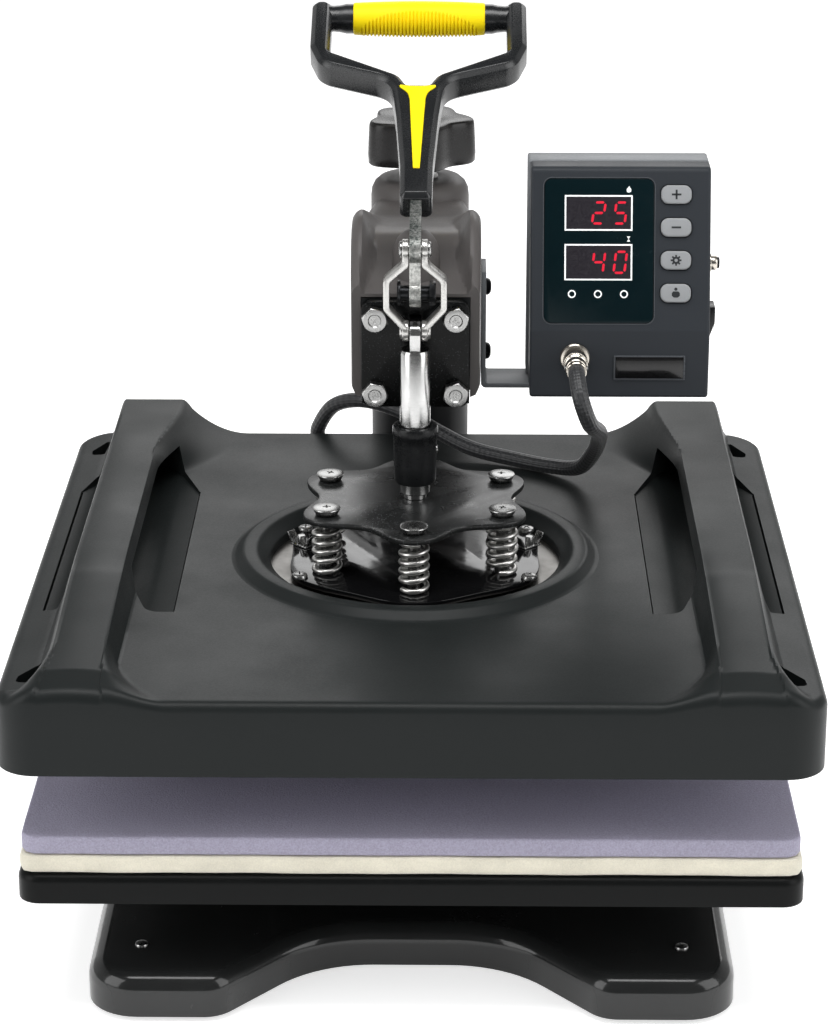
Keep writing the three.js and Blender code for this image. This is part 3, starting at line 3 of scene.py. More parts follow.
import bpy
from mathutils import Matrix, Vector


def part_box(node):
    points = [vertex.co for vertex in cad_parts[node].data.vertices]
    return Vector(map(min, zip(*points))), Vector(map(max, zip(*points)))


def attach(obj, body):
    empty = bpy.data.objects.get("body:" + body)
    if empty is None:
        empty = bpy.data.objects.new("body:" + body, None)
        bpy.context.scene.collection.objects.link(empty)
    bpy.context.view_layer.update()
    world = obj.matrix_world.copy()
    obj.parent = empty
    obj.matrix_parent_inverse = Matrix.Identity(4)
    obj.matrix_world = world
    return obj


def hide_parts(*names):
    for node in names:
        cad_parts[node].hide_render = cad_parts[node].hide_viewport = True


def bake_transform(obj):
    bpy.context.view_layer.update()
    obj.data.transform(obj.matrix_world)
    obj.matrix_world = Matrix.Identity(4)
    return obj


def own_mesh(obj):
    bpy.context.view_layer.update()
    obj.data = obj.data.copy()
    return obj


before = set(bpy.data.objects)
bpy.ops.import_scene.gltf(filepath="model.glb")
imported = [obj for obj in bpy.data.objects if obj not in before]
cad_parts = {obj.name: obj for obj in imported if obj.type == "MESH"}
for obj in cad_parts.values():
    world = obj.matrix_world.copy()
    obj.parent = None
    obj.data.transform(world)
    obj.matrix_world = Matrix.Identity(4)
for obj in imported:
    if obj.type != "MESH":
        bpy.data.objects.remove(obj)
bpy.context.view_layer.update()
MM = 0.001

# Camera of the photograph: a long lens at chest height in front of the press, looking down at it.
# Its place and lens were worked out from the square of the pads.
CAMERA_PLACE = (0.0193, -1.6090, 0.7831)
CAMERA_PITCH = radians(20.4)
CAMERA_YAW = radians(0.68)
LENS = 110.7
camera_data = bpy.data.cameras.new("camera")
camera_data.sensor_fit = "VERTICAL"
camera_data.sensor_height = 36
camera_data.lens = LENS
camera = bpy.data.objects.new("camera", camera_data)
bpy.context.scene.collection.objects.link(camera)
camera.location = CAMERA_PLACE
camera.rotation_euler = (pi / 2 - CAMERA_PITCH, 0, CAMERA_YAW)
bpy.context.scene.camera = camera
bpy.context.scene.view_settings.view_transform = "Standard"

# Studio: a broad soft lamp overhead, a tall soft lamp on each side whose reflections draw the
# bright bands on the steel, and a low lamp behind for the rear. Each has its place, size, power and aim.
LAMPS = {
    "lamp_overhead": ((0, -0.45, 1.85), (1.5, 0.8), 23, (0, 0, 0.2)),
    "lamp_left": ((-1.5, -0.9, 0.85), (1.1, 1.5), 15, (0, 0, 0.2)),
    "lamp_right": ((1.5, -0.8, 0.9), (1.1, 1.5), 14, (0, 0, 0.2)),
    "lamp_rear": ((0.3, 1.7, 1.2), (1.6, 0.9), 9, (0, 0, 0.25)),
}
for name, (place, size, power, aim) in LAMPS.items():
    lamp_data = bpy.data.lights.new(name, "AREA")
    lamp_data.shape = "RECTANGLE"
    lamp_data.size, lamp_data.size_y = size
    lamp_data.energy = power
    lamp = bpy.data.objects.new(name, lamp_data)
    bpy.context.scene.collection.objects.link(lamp)
    lamp.location = place
    lamp.rotation_euler = (Vector(aim) - Vector(place)).to_track_quat("-Z", "Y").to_euler()


# World: plain grey light on the object, plain white where it is seen directly or through glass, and
# in reflections a white backdrop behind the press that ends above it, and a darker room elsewhere.
def maths(tree, operation, first, second):
    """A math node over two sockets or numbers."""
    made = tree.nodes.new("ShaderNodeMath")
    made.operation = operation
    for place, term in enumerate((first, second)):
        if isinstance(term, (int, float)):
            made.inputs[place].default_value = term
        else:
            tree.links.new(term, made.inputs[place])
    return made.outputs[0]


def remap(tree, source, low, high, to_low, to_high):
    """A map range node from one span of values to another."""
    made = tree.nodes.new("ShaderNodeMapRange")
    for key, value in (("From Min", low), ("From Max", high), ("To Min", to_low), ("To Max", to_high)):
        made.inputs[key].default_value = value
    tree.links.new(source, made.inputs["Value"])
    return made.outputs["Result"]


def light_node(tree, kind, colour, strength=1.0):
    """A background or emission node."""
    made = tree.nodes.new(kind)
    made.inputs["Color"].default_value = colour
    made.inputs["Strength"].default_value = strength
    return made


def mix_of(tree, share, first, second):
    """A mix of two shaders."""
    made = tree.nodes.new("ShaderNodeMixShader")
    for place, source in enumerate((share, first, second)):
        tree.links.new(source, made.inputs[place])
    return made.outputs[0]


WORLD_LIGHT = (0.34, 0.34, 0.34, 1)
WHITE = (1, 1, 1, 1)
ROOM = 0.12
BACKDROP = 0.5
world = bpy.data.worlds.new("studio")
bpy.context.scene.world = world
world.use_nodes = True
tree = world.node_tree
tree.nodes.clear()
rays = tree.nodes.new("ShaderNodeLightPath").outputs
way = tree.nodes.new("ShaderNodeSeparateXYZ")
tree.links.new(tree.nodes.new("ShaderNodeTexCoord").outputs["Generated"], way.inputs[0])
rearward = remap(tree, way.outputs["Y"], -0.5, 0.4, 0, 1)
under_its_top = remap(tree, way.outputs["Z"], 0.46, 0.76, 1, 0)
lit = light_node(tree, "ShaderNodeBackground", WORLD_LIGHT)
shown = light_node(tree, "ShaderNodeBackground", WHITE)
mirrored_light = light_node(tree, "ShaderNodeBackground", WHITE)
tree.links.new(remap(tree, maths(tree, "MULTIPLY", rearward, under_its_top), 0, 1, ROOM, BACKDROP),
               mirrored_light.inputs["Strength"])
unseen = mix_of(tree, rays["Is Glossy Ray"], lit.outputs[0], mirrored_light.outputs[0])
seen = maths(tree, "MAXIMUM", rays["Is Camera Ray"], rays["Is Transmission Ray"])
output = tree.nodes.new("ShaderNodeOutputWorld")
tree.links.new(mix_of(tree, seen, unseen, shown.outputs[0]), output.inputs["Surface"])


# Floor: a white paper sweep. It shows as white and keeps the soft shadow under the press.
def new_material(name, **levels):
    """A material, its nodes and its shader, with some of the shader's levels set."""
    material = bpy.data.materials.new(name)
    material.use_nodes = True
    shader = material.node_tree.nodes["Principled BSDF"]
    for level, value in levels.items():
        shader.inputs[level.replace("_", " ")].default_value = value
    return material, material.node_tree, shader


def started(name, add, **settings):
    """A primitive of this name."""
    bpy.ops.object.select_all(action="DESELECT")
    add(**settings)
    piece = bpy.context.object
    piece.name = name
    piece.data.name = name
    return piece


FLOOR_SIDE = 12
FLOOR_GLOW = 0.64
floor = started("paper_floor", bpy.ops.mesh.primitive_plane_add, size=FLOOR_SIDE)
paper, tree, board = new_material("white_paper", Base_Color=(0.86, 0.86, 0.86, 1), Roughness=0.9)
both = tree.nodes.new("ShaderNodeAddShader")
tree.links.new(board.outputs[0], both.inputs[0])
tree.links.new(light_node(tree, "ShaderNodeEmission", WHITE, FLOOR_GLOW).outputs[0], both.inputs[1])
rays = tree.nodes.new("ShaderNodeLightPath").outputs
seen = maths(tree, "MAXIMUM", rays["Is Camera Ray"], rays["Is Transmission Ray"])
seen_or_mirrored = maths(tree, "MAXIMUM", seen, rays["Is Glossy Ray"])
tree.links.new(mix_of(tree, seen_or_mirrored, board.outputs[0], both.outputs[0]),
               tree.nodes["Material Output"].inputs["Surface"])
floor.data.materials.append(paper)


# Heater cable: a braided lead from the plug on the control box, under the arm in a low arch, to the
# gland at the rear of the cover. It is made in two lengths that meet behind the ram.
def screen(red, green, blue):
    """The linear colour of what a screen shows as these values from 0 to 255."""
    shares = (value / 255 for value in (red, green, blue))
    return (*(c / 12.92 if c <= 0.04045 else ((c + 0.055) / 1.055) ** 2.4 for c in shares), 1)


def scaled(colour, share):
    """A colour made lighter or darker by a share."""
    return tuple(min(1, c * share) for c in colour[:3]) + (1,)


def coordinates(tree, kind="Object"):
    """The object's own coordinates or its map, for the patterns to read."""
    place = tree.nodes.get("Texture Coordinate") or tree.nodes.new("ShaderNodeTexCoord")
    return place.outputs[kind]


def noise(tree, grain, detail=2.0, roughness=0.5, source=None):
    """A noise whose grain is this many metres across, over the object if no source is given."""
    made = tree.nodes.new("ShaderNodeTexNoise")
    for key, value in (("Scale", 1 / grain), ("Detail", detail), ("Roughness", roughness)):
        made.inputs[key].default_value = value
    tree.links.new(source or coordinates(tree), made.inputs["Vector"])
    return made.outputs["Fac"]


def tint(tree, source, low_colour, high_colour, shader):
    """The shader's colour runs between two colours with the source."""
    mix = tree.nodes.new("ShaderNodeMix")
    mix.data_type = "RGBA"
    mix.inputs["A"].default_value = low_colour
    mix.inputs["B"].default_value = high_colour
    tree.links.new(source, mix.inputs["Factor"])
    tree.links.new(mix.outputs["Result"], shader.inputs["Base Color"])


def roughen(tree, source, low, high, rough_low, rough_high, shader):
    """The shader's roughness runs between two levels with the source."""
    tree.links.new(remap(tree, source, low, high, rough_low, rough_high), shader.inputs["Roughness"])


def emboss(tree, source, shader, strength, depth):
    """The source becomes a relief of this depth in metres."""
    bump = tree.nodes.new("ShaderNodeBump")
    bump.inputs["Strength"].default_value = strength
    bump.inputs["Distance"].default_value = depth
    tree.links.new(source, bump.inputs["Height"])
    tree.links.new(bump.outputs["Normal"], shader.inputs["Normal"])


def surface(name, colour, roughness, grain, relief, mottle=0.12, metallic=0.0, coat=0.0, cloud=0.03,
            gloss=0.2):
    """A worked surface: fine grain in relief, broad clouds in colour, and uneven gloss."""
    material, tree, shader = new_material(
        name, Metallic=metallic, Coat_Weight=coat, Coat_Roughness=0.08,
        Specular_IOR_Level=0.5 if metallic > 0.5 else gloss)
    clouds = noise(tree, cloud, 3)
    fine = noise(tree, grain)
    tint(tree, clouds, scaled(colour, 1 - mottle), scaled(colour, 1 + mottle), shader)
    uneven = maths(tree, "ADD", remap(tree, clouds, 0.3, 0.7, -0.05, 0.05),
                   remap(tree, fine, 0.3, 0.7, roughness - 0.04, roughness + 0.04))
    tree.links.new(uneven, shader.inputs["Roughness"])
    emboss(tree, fine, shader, 0.5, relief)
    return material


def only(piece):
    """This piece alone is selected and active."""
    bpy.ops.object.select_all(action="DESELECT")
    piece.select_set(True)
    bpy.context.view_layer.objects.active = piece


def edit(piece, kind="VERT", chosen="SELECT"):
    """Edit mode on this piece, with all or none of it selected."""
    bpy.context.view_layer.objects.active = piece
    bpy.ops.object.mode_set(mode="EDIT")
    bpy.ops.mesh.select_mode(type=kind)
    bpy.ops.mesh.select_all(action=chosen)


def leave():
    """Back from edit mode."""
    bpy.ops.object.mode_set(mode="OBJECT")


def grid_points(name, rings, unit=MM):
    """A grid primitive bent to rings of points, one grid row to a ring."""
    rows, columns = len(rings), len(rings[0])
    piece = started(name, bpy.ops.mesh.primitive_grid_add, x_subdivisions=columns - 1,
                    y_subdivisions=rows - 1, size=2)
    for vertex in piece.data.vertices:
        column = round((vertex.co.x + 1) / 2 * (columns - 1))
        row = round((vertex.co.y + 1) / 2 * (rows - 1))
        vertex.co = [value * unit for value in rings[row][column]]
    return piece


def mend(piece, cap=True):
    """Doubles are merged, open ends closed and faces turned outwards."""
    edit(piece)
    bpy.ops.mesh.remove_doubles(threshold=0.00001)
    if cap:
        bpy.ops.mesh.select_all(action="DESELECT")
        bpy.ops.mesh.select_mode(type="EDGE")
        bpy.ops.mesh.select_non_manifold(extend=False)
        bpy.ops.mesh.edge_face_add()
        bpy.ops.mesh.select_mode(type="VERT")
    bpy.ops.mesh.select_all(action="SELECT")
    bpy.ops.mesh.normals_make_consistent(inside=False)
    leave()
    return piece


def smooth(piece, degrees=35):
    """Smooth shading, broken where faces meet at more than this angle."""
    only(piece)
    bpy.ops.object.shade_smooth_by_angle(angle=radians(degrees))
    return piece


def frames_along(path):
    """At each point of a path: the point, and two directions across it that never twist."""
    points = [Vector(point) for point in path]
    last = len(points) - 1
    ways = [(points[min(place + 1, last)] - points[max(place - 1, 0)]).normalized()
            for place in range(last + 1)]
    across = ways[0].orthogonal().normalized()
    made = []
    for point, way in zip(points, ways):
        across = (across - way * across.dot(way)).normalized()
        made.append((point, across, way.cross(across)))
    return made


def swept(name, path, radius, sides):
    """A round tube along a path in metres, capped at both ends, shaded smooth."""
    angles = [2 * pi * side / sides for side in range(sides + 1)]
    rings = [[point + (across * cos(a) + over * sin(a)) * radius for a in angles]
             for point, across, over in frames_along(path)]
    return smooth(mend(grid_points(name, rings, 1)), 60)


def finish(piece, material):
    """A piece gets its material."""
    piece.data.materials.clear()
    piece.data.materials.append(material)


def dress(piece, body, slot, material, *nodes):
    """A piece gets its finish, rides on its body and stands for these nodes."""
    finish(piece, material)
    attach(piece, body)
    if nodes:
        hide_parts(*nodes)


def flowing(points, steps):
    """A smooth curve through the points, with this many steps between neighbours."""
    points = [Vector(point) for point in points]
    ends = [2 * points[0] - points[1], *points, 2 * points[-1] - points[-2]]
    line = []
    for a, b, c, d in zip(ends, ends[1:], ends[2:], ends[3:]):
        for step in range(steps):
            t = step / steps
            line.append(0.5 * ((2 * b) + (c - a) * t + (2 * a - 5 * b + 4 * c - d) * t ** 2
                               + (3 * b - a - 3 * c + d) * t ** 3))
    line.append(points[-1])
    return line


CABLE_RADIUS = 4.4 * MM
CABLE_SIDES = 16
CABLE_STRANDS = 8
BRAID_PITCH = 7 * MM
MOUTH_GAP = 0.3 * MM
PLATEN_MIDDLE_Y = sum(corner.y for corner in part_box("silicone_pad")) / 2
socket_low, socket_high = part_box("cable_socket")
gland_low, gland_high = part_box("cable_gland")
gland_middle = (gland_low + gland_high) / 2
plug_mouth = Vector(((socket_low.x + socket_high.x) / 2, socket_low.y - MOUTH_GAP, 0.2805))
gland_mouth = Vector((gland_middle.x, gland_middle.y, gland_high.z + MOUTH_GAP))
# Points of the route from the plug to the gland, x, y and z in metres with y from the pads' middle
CABLE_ROUTE = [
    (0.086, -0.024, 0.271), (0.091, -0.017, 0.256), (0.097, 0.012, 0.242), (0.099, 0.048, 0.226),
    (0.098, 0.082, 0.206), (0.091, 0.110, 0.187), (0.075, 0.126, 0.182), (0.053, 0.139, 0.182),
    (0.031, 0.150, 0.184), (0.012, 0.161, 0.190), (-0.010, 0.172, 0.199), (-0.032, 0.183, 0.202),
    (-0.050, 0.198, 0.194),
]
CABLE_SPLIT = 10
lead_out = 2 * CABLE_RADIUS
route = [
    plug_mouth,
    plug_mouth - Vector((0, lead_out, 0)),
    *(Vector((x, y + PLATEN_MIDDLE_Y, z)) for x, y, z in CABLE_ROUTE),
    gland_mouth + Vector((0, 0, lead_out)),
    gland_mouth,
]
CABLE_STEPS = 9
whole = flowing(route, CABLE_STEPS)
split = (CABLE_SPLIT + 2) * CABLE_STEPS
front_line, rear_line = whole[:split + 1], whole[split:]


def braid(name, colour, strands, pitch, length, diameter):
    """A braided sleeve: two sets of strands that cross over each other, read from the tube's own map, their
    crests painted lighter and the hollows between them darker as painted highlight and shade.
    """
    material, tree, shader = new_material(name, Roughness=0.42, Sheen_Weight=0.12, Sheen_Roughness=0.5)
    split_map = tree.nodes.new("ShaderNodeSeparateXYZ")
    tree.links.new(coordinates(tree, "UV"), split_map.inputs[0])
    round_it = maths(tree, "MULTIPLY", split_map.outputs["X"], 2 * pi * strands)
    along = maths(tree, "MULTIPLY", split_map.outputs["Y"], 2 * pi * length / pitch)
    waves = [maths(tree, "SINE", maths(tree, operation, round_it, along), 0)
             for operation in ("ADD", "SUBTRACT")]
    height = remap(tree, maths(tree, "MULTIPLY", *waves), -1, 1, 0, 1)
    fuzz = noise(tree, diameter / 12, 3, 0.7)
    braid_relief_and_painted_shade = maths(tree, "ADD", height, maths(tree, "MULTIPLY", fuzz, 0.35))
    # Painted highlight and shade: the strands' crests are coloured lighter and the hollows between them
    # darker, with a random fuzz in tone on top.
    tint(tree, braid_relief_and_painted_shade, scaled(colour, 0.7), scaled(colour, 1.5), shader)
    emboss(tree, braid_relief_and_painted_shade, shader, 0.7, diameter / 26)
    return material


cable_front = swept("heater_cable_front", front_line, CABLE_RADIUS, CABLE_SIDES)
cable_rear = swept("heater_cable_rear", rear_line, CABLE_RADIUS, CABLE_SIDES)
for cable, line in ((cable_front, front_line), (cable_rear, rear_line)):
    reach = sum((b - a).length for a, b in zip(line, line[1:]))
    sleeve = braid(cable.name + "_braid", screen(36, 37, 39), CABLE_STRANDS, BRAID_PITCH, reach,
                   2 * CABLE_RADIUS)
    finish(cable, sleeve)
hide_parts("heater_cable")
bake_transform(cable_front)
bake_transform(cable_rear)


# Base frame: a thick black enamelled casting with broad round edges and an arch between its front
# feet. It lies on four rubber feet and is held to the column and the pedestal by screws.
# From here on every length given to a helper is in millimetres.
def node_box(name):
    """The lower and the upper corner of a CAD node, in millimetres."""
    return [Vector(corner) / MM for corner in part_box(name)]


def slab(name, outline, low, high):
    """A slab with this outline between two heights."""
    piece = started(name, bpy.ops.mesh.primitive_circle_add, vertices=len(outline), radius=1,
                    fill_type="NGON")
    for vertex, (x, y) in zip(piece.data.vertices, outline):
        vertex.co = (x * MM, y * MM, low * MM)
    edit(piece)
    bpy.ops.mesh.extrude_region_move(TRANSFORM_OT_translate={"value": (0, 0, (high - low) * MM)})
    bpy.ops.mesh.select_all(action="SELECT")
    bpy.ops.mesh.normals_make_consistent(inside=False)
    leave()
    return piece


def modify(piece, kind, **settings):
    """A modifier is added with these settings and applied."""
    only(piece)
    modifier = piece.modifiers.new(kind.lower(), kind)
    for key, value in settings.items():
        setattr(modifier, key, value)
    bpy.ops.object.modifier_apply(modifier=modifier.name)
    return piece


def bevel(piece, width, segments, degrees):
    """Edges sharper than this angle are rounded, or chamfered where there is one segment."""
    return modify(piece, "BEVEL", width=width * MM, segments=segments, limit_method="ANGLE",
                  angle_limit=radians(degrees))


def soften(piece, width, segments=3, degrees=30):
    """Edges sharper than this angle are rounded, and the piece is shaded smooth."""
    return smooth(bevel(piece, width, segments, degrees), 40)


def round_corners(corners, steps=8):
    """A polygon of (x, y, radius) corners, each rounded with an arc."""
    outline = []
    for index, (x, y, radius) in enumerate(corners):
        if radius == 0:
            outline.append((x, y))
            continue
        corner = Vector((x, y))
        back = Vector(corners[index - 1][:2]) - corner
        ahead = Vector(corners[(index + 1) % len(corners)][:2]) - corner
        half = back.angle(ahead) / 2
        reach = min(radius * cos(half) / sin(half), back.length * 0.499, ahead.length * 0.499)
        start = back.normalized() * reach
        end = ahead.normalized() * reach
        arc = reach * sin(half) / cos(half)
        centre = (start + end).normalized() * hypot(arc, reach)
        first = atan2(start.y - centre.y, start.x - centre.x)
        last = atan2(end.y - centre.y, end.x - centre.x)
        turn = (last - first + pi) % (2 * pi) - pi
        for step in range(steps + 1):
            angle = first + turn * step / steps
            outline.append((x + centre.x + arc * cos(angle), y + centre.y + arc * sin(angle)))
    return outline


def mirrored(half):
    """The right half of a polygon and its mirror image."""
    return [*half, *((-x, *rest) for x, *rest in reversed(half))]


def rectangle(x0, x1, y0, y1, radius, steps=8):
    """The outline of a rectangle with round corners."""
    return round_corners([(x0, y0, radius), (x1, y0, radius), (x1, y1, radius), (x0, y1, radius)], steps)


def pick(piece, parts, test):
    """Edit mode with only those edges or polygons selected that pass the test."""
    edit(piece, {"edges": "EDGE", "polygons": "FACE"}[parts], "DESELECT")
    leave()
    for part in getattr(piece.data, parts):
        part.select = test(part)
    bpy.ops.object.mode_set(mode="EDIT")


def hollow_below(piece, wall, depth):
    """The flat underside is inset by the wall and pushed up."""
    pick(piece, "polygons", lambda face: face.normal.z < -0.99)
    bpy.ops.mesh.inset(thickness=wall * MM)
    bpy.ops.mesh.extrude_region_move(TRANSFORM_OT_translate={"value": (0, 0, depth * MM)})
    leave()


def round_top(piece, height, width, segments):
    """The edges that lie at this height are rounded."""
    pick(piece, "edges", lambda edge: all(
        abs(piece.data.vertices[i].co.z - height * MM) < 0.00001 for i in edge.vertices))
    bpy.ops.mesh.bevel(offset=width * MM, segments=segments, affect="EDGES")
    leave()


def cut_with(piece, *cutters, operation="DIFFERENCE"):
    """Each cutter is taken from the piece, or kept in common with it, and removed."""
    for cutter in cutters:
        modify(piece, "BOOLEAN", operation=operation, object=cutter, solver="EXACT")
        bpy.data.objects.remove(cutter)
    return piece


def joined(name, *pieces):
    """Several parts of one rigid piece become one object."""
    only(pieces[0])
    for piece in pieces:
        piece.select_set(True)
    bpy.ops.object.join()
    whole = bpy.context.object
    whole.name = name
    whole.data.name = name
    return whole


def moved(piece, place=(0, 0, 0), turn=(0, 0, 0), size=(1, 1, 1)):
    """A piece is turned, sized and moved, and its mesh takes that in."""
    only(piece)
    piece.location, piece.rotation_euler, piece.scale = [value * MM for value in place], turn, size
    bpy.ops.object.transform_apply(location=True, rotation=True, scale=True)
    return mend(piece, False) if size[0] * size[1] * size[2] < 0 else piece


def copied(piece, name, place=(0, 0, 0), turn=(0, 0, 0), size=(1, 1, 1)):
    """A second piece like this one, elsewhere."""
    only(piece)
    bpy.ops.object.duplicate()
    twin = bpy.context.object
    twin.name = name
    twin.data.name = name
    return moved(twin, place, turn, size)


def turned(name, profile, sides=48):
    """A profile of (radius, height) is spun about the z axis. One that starts on the axis is open there."""
    piece = started(name, bpy.ops.mesh.primitive_circle_add, vertices=len(profile), radius=1,
                    fill_type="NOTHING")
    for vertex, (radius, height) in zip(piece.data.vertices, profile):
        vertex.co = (radius * MM, 0, height * MM)
    ends = {0, len(profile) - 1}
    pick(piece, "edges", lambda edge: profile[0][0] == 0 and set(edge.vertices) == ends)
    bpy.ops.mesh.delete(type="EDGE")
    bpy.ops.mesh.select_all(action="SELECT")
    bpy.ops.mesh.spin(steps=sides, angle=2 * pi, center=(0, 0, 0), axis=(0, 0, 1))
    bpy.ops.mesh.select_all(action="SELECT")
    bpy.ops.mesh.remove_doubles(threshold=0.000001)
    bpy.ops.mesh.normals_make_consistent(inside=False)
    bpy.ops.mesh.select_mode(type="VERT")
    leave()
    return smooth(piece)


def box_piece(name, x0, x1, y0, y1, z0, z1, edge=0.0, segments=2):
    """A block between these sides, with its edges rounded."""
    piece = started(name, bpy.ops.mesh.primitive_cube_add, size=1)
    moved(piece, ((x0 + x1) / 2, (y0 + y1) / 2, (z0 + z1) / 2),
          size=((x1 - x0) * MM, (y1 - y0) * MM, (z1 - z0) * MM))
    return soften(piece, edge, segments) if edge else piece


def cross_cutter(radius, low, high, width):
    """The four-winged bit that presses a cross recess."""
    half = width / 2
    return [box_piece("bit", -radius, radius, -half, half, low, high),
            box_piece("bit", -half, half, -radius, radius, low, high)]


zinc = surface("zinc_plate", screen(168, 168, 167), 0.28, 0.0006, 0.000012, 0.1, metallic=1.0)


def pan_screw(name, body, place, turn, radius, height, sides=32):
    """A zinc screw with a domed head and a cross recess, seated at this place."""
    head = turned(name, [(0, -0.6), (radius * 0.8, -0.6), (radius, 0), (radius, height * 0.35),
                         (radius * 0.9, height * 0.72), (radius * 0.62, height * 0.95), (0, height)], sides)
    cut_with(head, *cross_cutter(radius * 0.55, height * 0.3, height * 1.3, radius * 0.22))
    dress(moved(smooth(head), place, turn), body, "bright_steel", zinc)


PADS_Y = PLATEN_MIDDLE_Y / MM
MIDDLE = (0, PADS_Y, 0)
BASE_HALF, BASE_FRONT = 162, -190
BASE_SCREW_X, BASE_SCREW_Y = 136, -156
base_low, base_high = node_box("base_frame")
base_outline = round_corners(mirrored([
    (48, -135, 62), (95, BASE_FRONT, 18), (BASE_HALF, BASE_FRONT, 26), (BASE_HALF, 150, 26), (95, 285, 34),
]), 10)
base = slab("base_casting", [(x, y + PADS_Y) for x, y in base_outline], base_low.z, base_high.z)
round_top(base, base_high.z, 10, 8)
hollow_below(base, 4, 16)
smooth(base, 40)
enamel = surface("black_enamel", screen(34, 35, 35), 0.2, 0.003, 0.00005, 0.2, coat=0.5)
dress(base, "base", "gloss_black", enamel, "base_frame")
for side in (-1, 1):
    pan_screw(f"base_screw_{side}", "base", (side * BASE_SCREW_X, PADS_Y + BASE_SCREW_Y, base_high.z + 0.1),
              (0, 0, side * 0.5), 3.4, 1.6)


# Feet: four moulded rubber discs pressed into the bosses of the base.
rubber = surface("foot_rubber", screen(30, 30, 31), 0.75, 0.0012, 0.00005)
for foot in ("foot_front_left", "foot_front_right", "foot_rear_left", "foot_rear_right"):
    finish(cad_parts[foot], rubber)


# Column: a steel tube in satin black, welded to a round flange that four screws hold to the base.
SCREW_CIRCLE = 38
satin = surface("satin_black_paint", screen(24, 25, 26), 0.4, 0.0009, 0.00004, 0.15, gloss=0.15)
column_low, column_high = node_box("column")
column_y = (column_low.y + column_high.y) / 2
low, high = column_low.z, column_high.z
column = turned("column_tube", [
    (22.4, low), (45, low), (46, low + 1), (46, low + 5), (45, low + 6), (31.5, low + 6),
    (29.6, low + 6.8), (28.8, low + 8.8), (28.8, high - 1), (27.8, high), (23.2, high), (22.4, high - 0.8),
], 64)
dress(moved(column, (0, column_y, 0)), "base", "satin_black", satin, "column")
for quarter in range(4):
    angle = pi / 4 + quarter * pi / 2
    pan_screw(f"column_screw_{quarter + 1}", "base",
              (SCREW_CIRCLE * cos(angle), column_y + SCREW_CIRCLE * sin(angle), low + 6.1),
              (0, 0, quarter * 1.1), 4.4, 2.6)


# Pedestal: a square steel post welded between two square plates, bolted to the base.
def square(half, radius):
    """The outline of a square about the middle of the pads."""
    return rectangle(-half, half, PADS_Y - half, PADS_Y + half, radius)


def hexagon_head(name, across, height, sides=36):
    """A hexagon bolt head standing on z = 0, its corners turned down."""
    corners = [pi / 6 + pi / 3 * corner for corner in range(6)]
    head = slab(name, [(across * cos(a), across * sin(a)) for a in corners], 0, height)
    crown = turned(name, [(0, -1), (across * 1.02, -1), (across * 1.02, height - across * 0.14),
                          (across * 0.84, height + 0.05), (across * 0.5, height), (0, height)], sides)
    return soften(cut_with(head, crown, operation="INTERSECT"), 0.15, 2)


POST_HALF, PLATE_HALF, PLATE_THICK, BOLT_OUT = 42, 75, 5, 60
post_low, post_high = node_box("platen_pedestal")
post = smooth(slab("pedestal_post", square(POST_HALF, 6), post_low.z, post_high.z), 40)
plates = [soften(slab("pedestal_plate", square(PLATE_HALF, 8), z, z + PLATE_THICK), 0.8, 2)
          for z in (post_low.z, post_high.z - PLATE_THICK)]
dress(joined("pedestal", post, *plates), "base", "satin_black", satin, "platen_pedestal")
for number, (side_x, side_y) in enumerate([(-1, -1), (1, -1), (1, 1), (-1, 1)]):
    bolt = hexagon_head(f"pedestal_bolt_{number + 1}", 7, 5)
    moved(bolt, (side_x * BOLT_OUT, PADS_Y + side_y * BOLT_OUT, post_low.z + PLATE_THICK + 0.1),
          (0, 0, number * 0.7))
    dress(bolt, "base", "bright_steel", zinc)


# Lower platen: a tray folded from black steel sheet, its rim turned down. It rests on the pedestal
# and carries the felt and the silicone pad.
TRAY_HALF = 192.5
tray_low, tray_high = node_box("lower_platen")
tray = slab("lower_tray", square(TRAY_HALF, 11), tray_low.z, tray_high.z)
round_top(tray, tray_high.z, 4.5, 6)
hollow_below(tray, 2.5, 12)
tray_paint = surface("tray_powder_coat", screen(17, 18, 18), 0.36, 0.0011, 0.00004, 0.15, gloss=0.1)
dress(smooth(tray, 40), "base", "satin_black", tray_paint, "lower_platen")


# Felt pad: a thick sheet of cream wool felt cut square, loose on the tray. Its edges are softly
# rounded and its faces are slightly uneven.
SHEET_CUTS = 60


def soft_sheet(name, node_name, radius, edge, unevenness):
    """A thick soft square between its node's sides, its faces finely divided and faintly uneven."""
    low, high = node_box(node_name)
    half_x, half_y = (high.x - low.x) / 2, (high.y - low.y) / 2
    middle_x, middle_y = (high.x + low.x) / 2, (high.y + low.y) / 2
    piece = started(name, bpy.ops.mesh.primitive_grid_add, x_subdivisions=SHEET_CUTS,
                    y_subdivisions=SHEET_CUTS, size=2)
    for vertex in piece.data.vertices:
        x, y = vertex.co.x * half_x, vertex.co.y * half_y
        over_x, over_y = abs(x) - (half_x - radius), abs(y) - (half_y - radius)
        if over_x > 0 and over_y > 0:
            reach = max(over_x, over_y) / hypot(over_x, over_y)
            x = (half_x - radius + over_x * reach) * (1 if x > 0 else -1)
            y = (half_y - radius + over_y * reach) * (1 if y > 0 else -1)
        ripple = sin(x * 0.061 + 0.6) * cos(y * 0.053 - 0.4) + 0.5 * sin(x * 0.143 - y * 0.117)
        height = high.z - unevenness * (1.5 + ripple) / 3
        vertex.co = ((middle_x + x) * MM, (middle_y + y) * MM, height * MM)
    modify(piece, "SOLIDIFY", thickness=(high.z - low.z - unevenness) * MM, offset=-1)
    return smooth(bevel(piece, edge, 3, 50), 60)


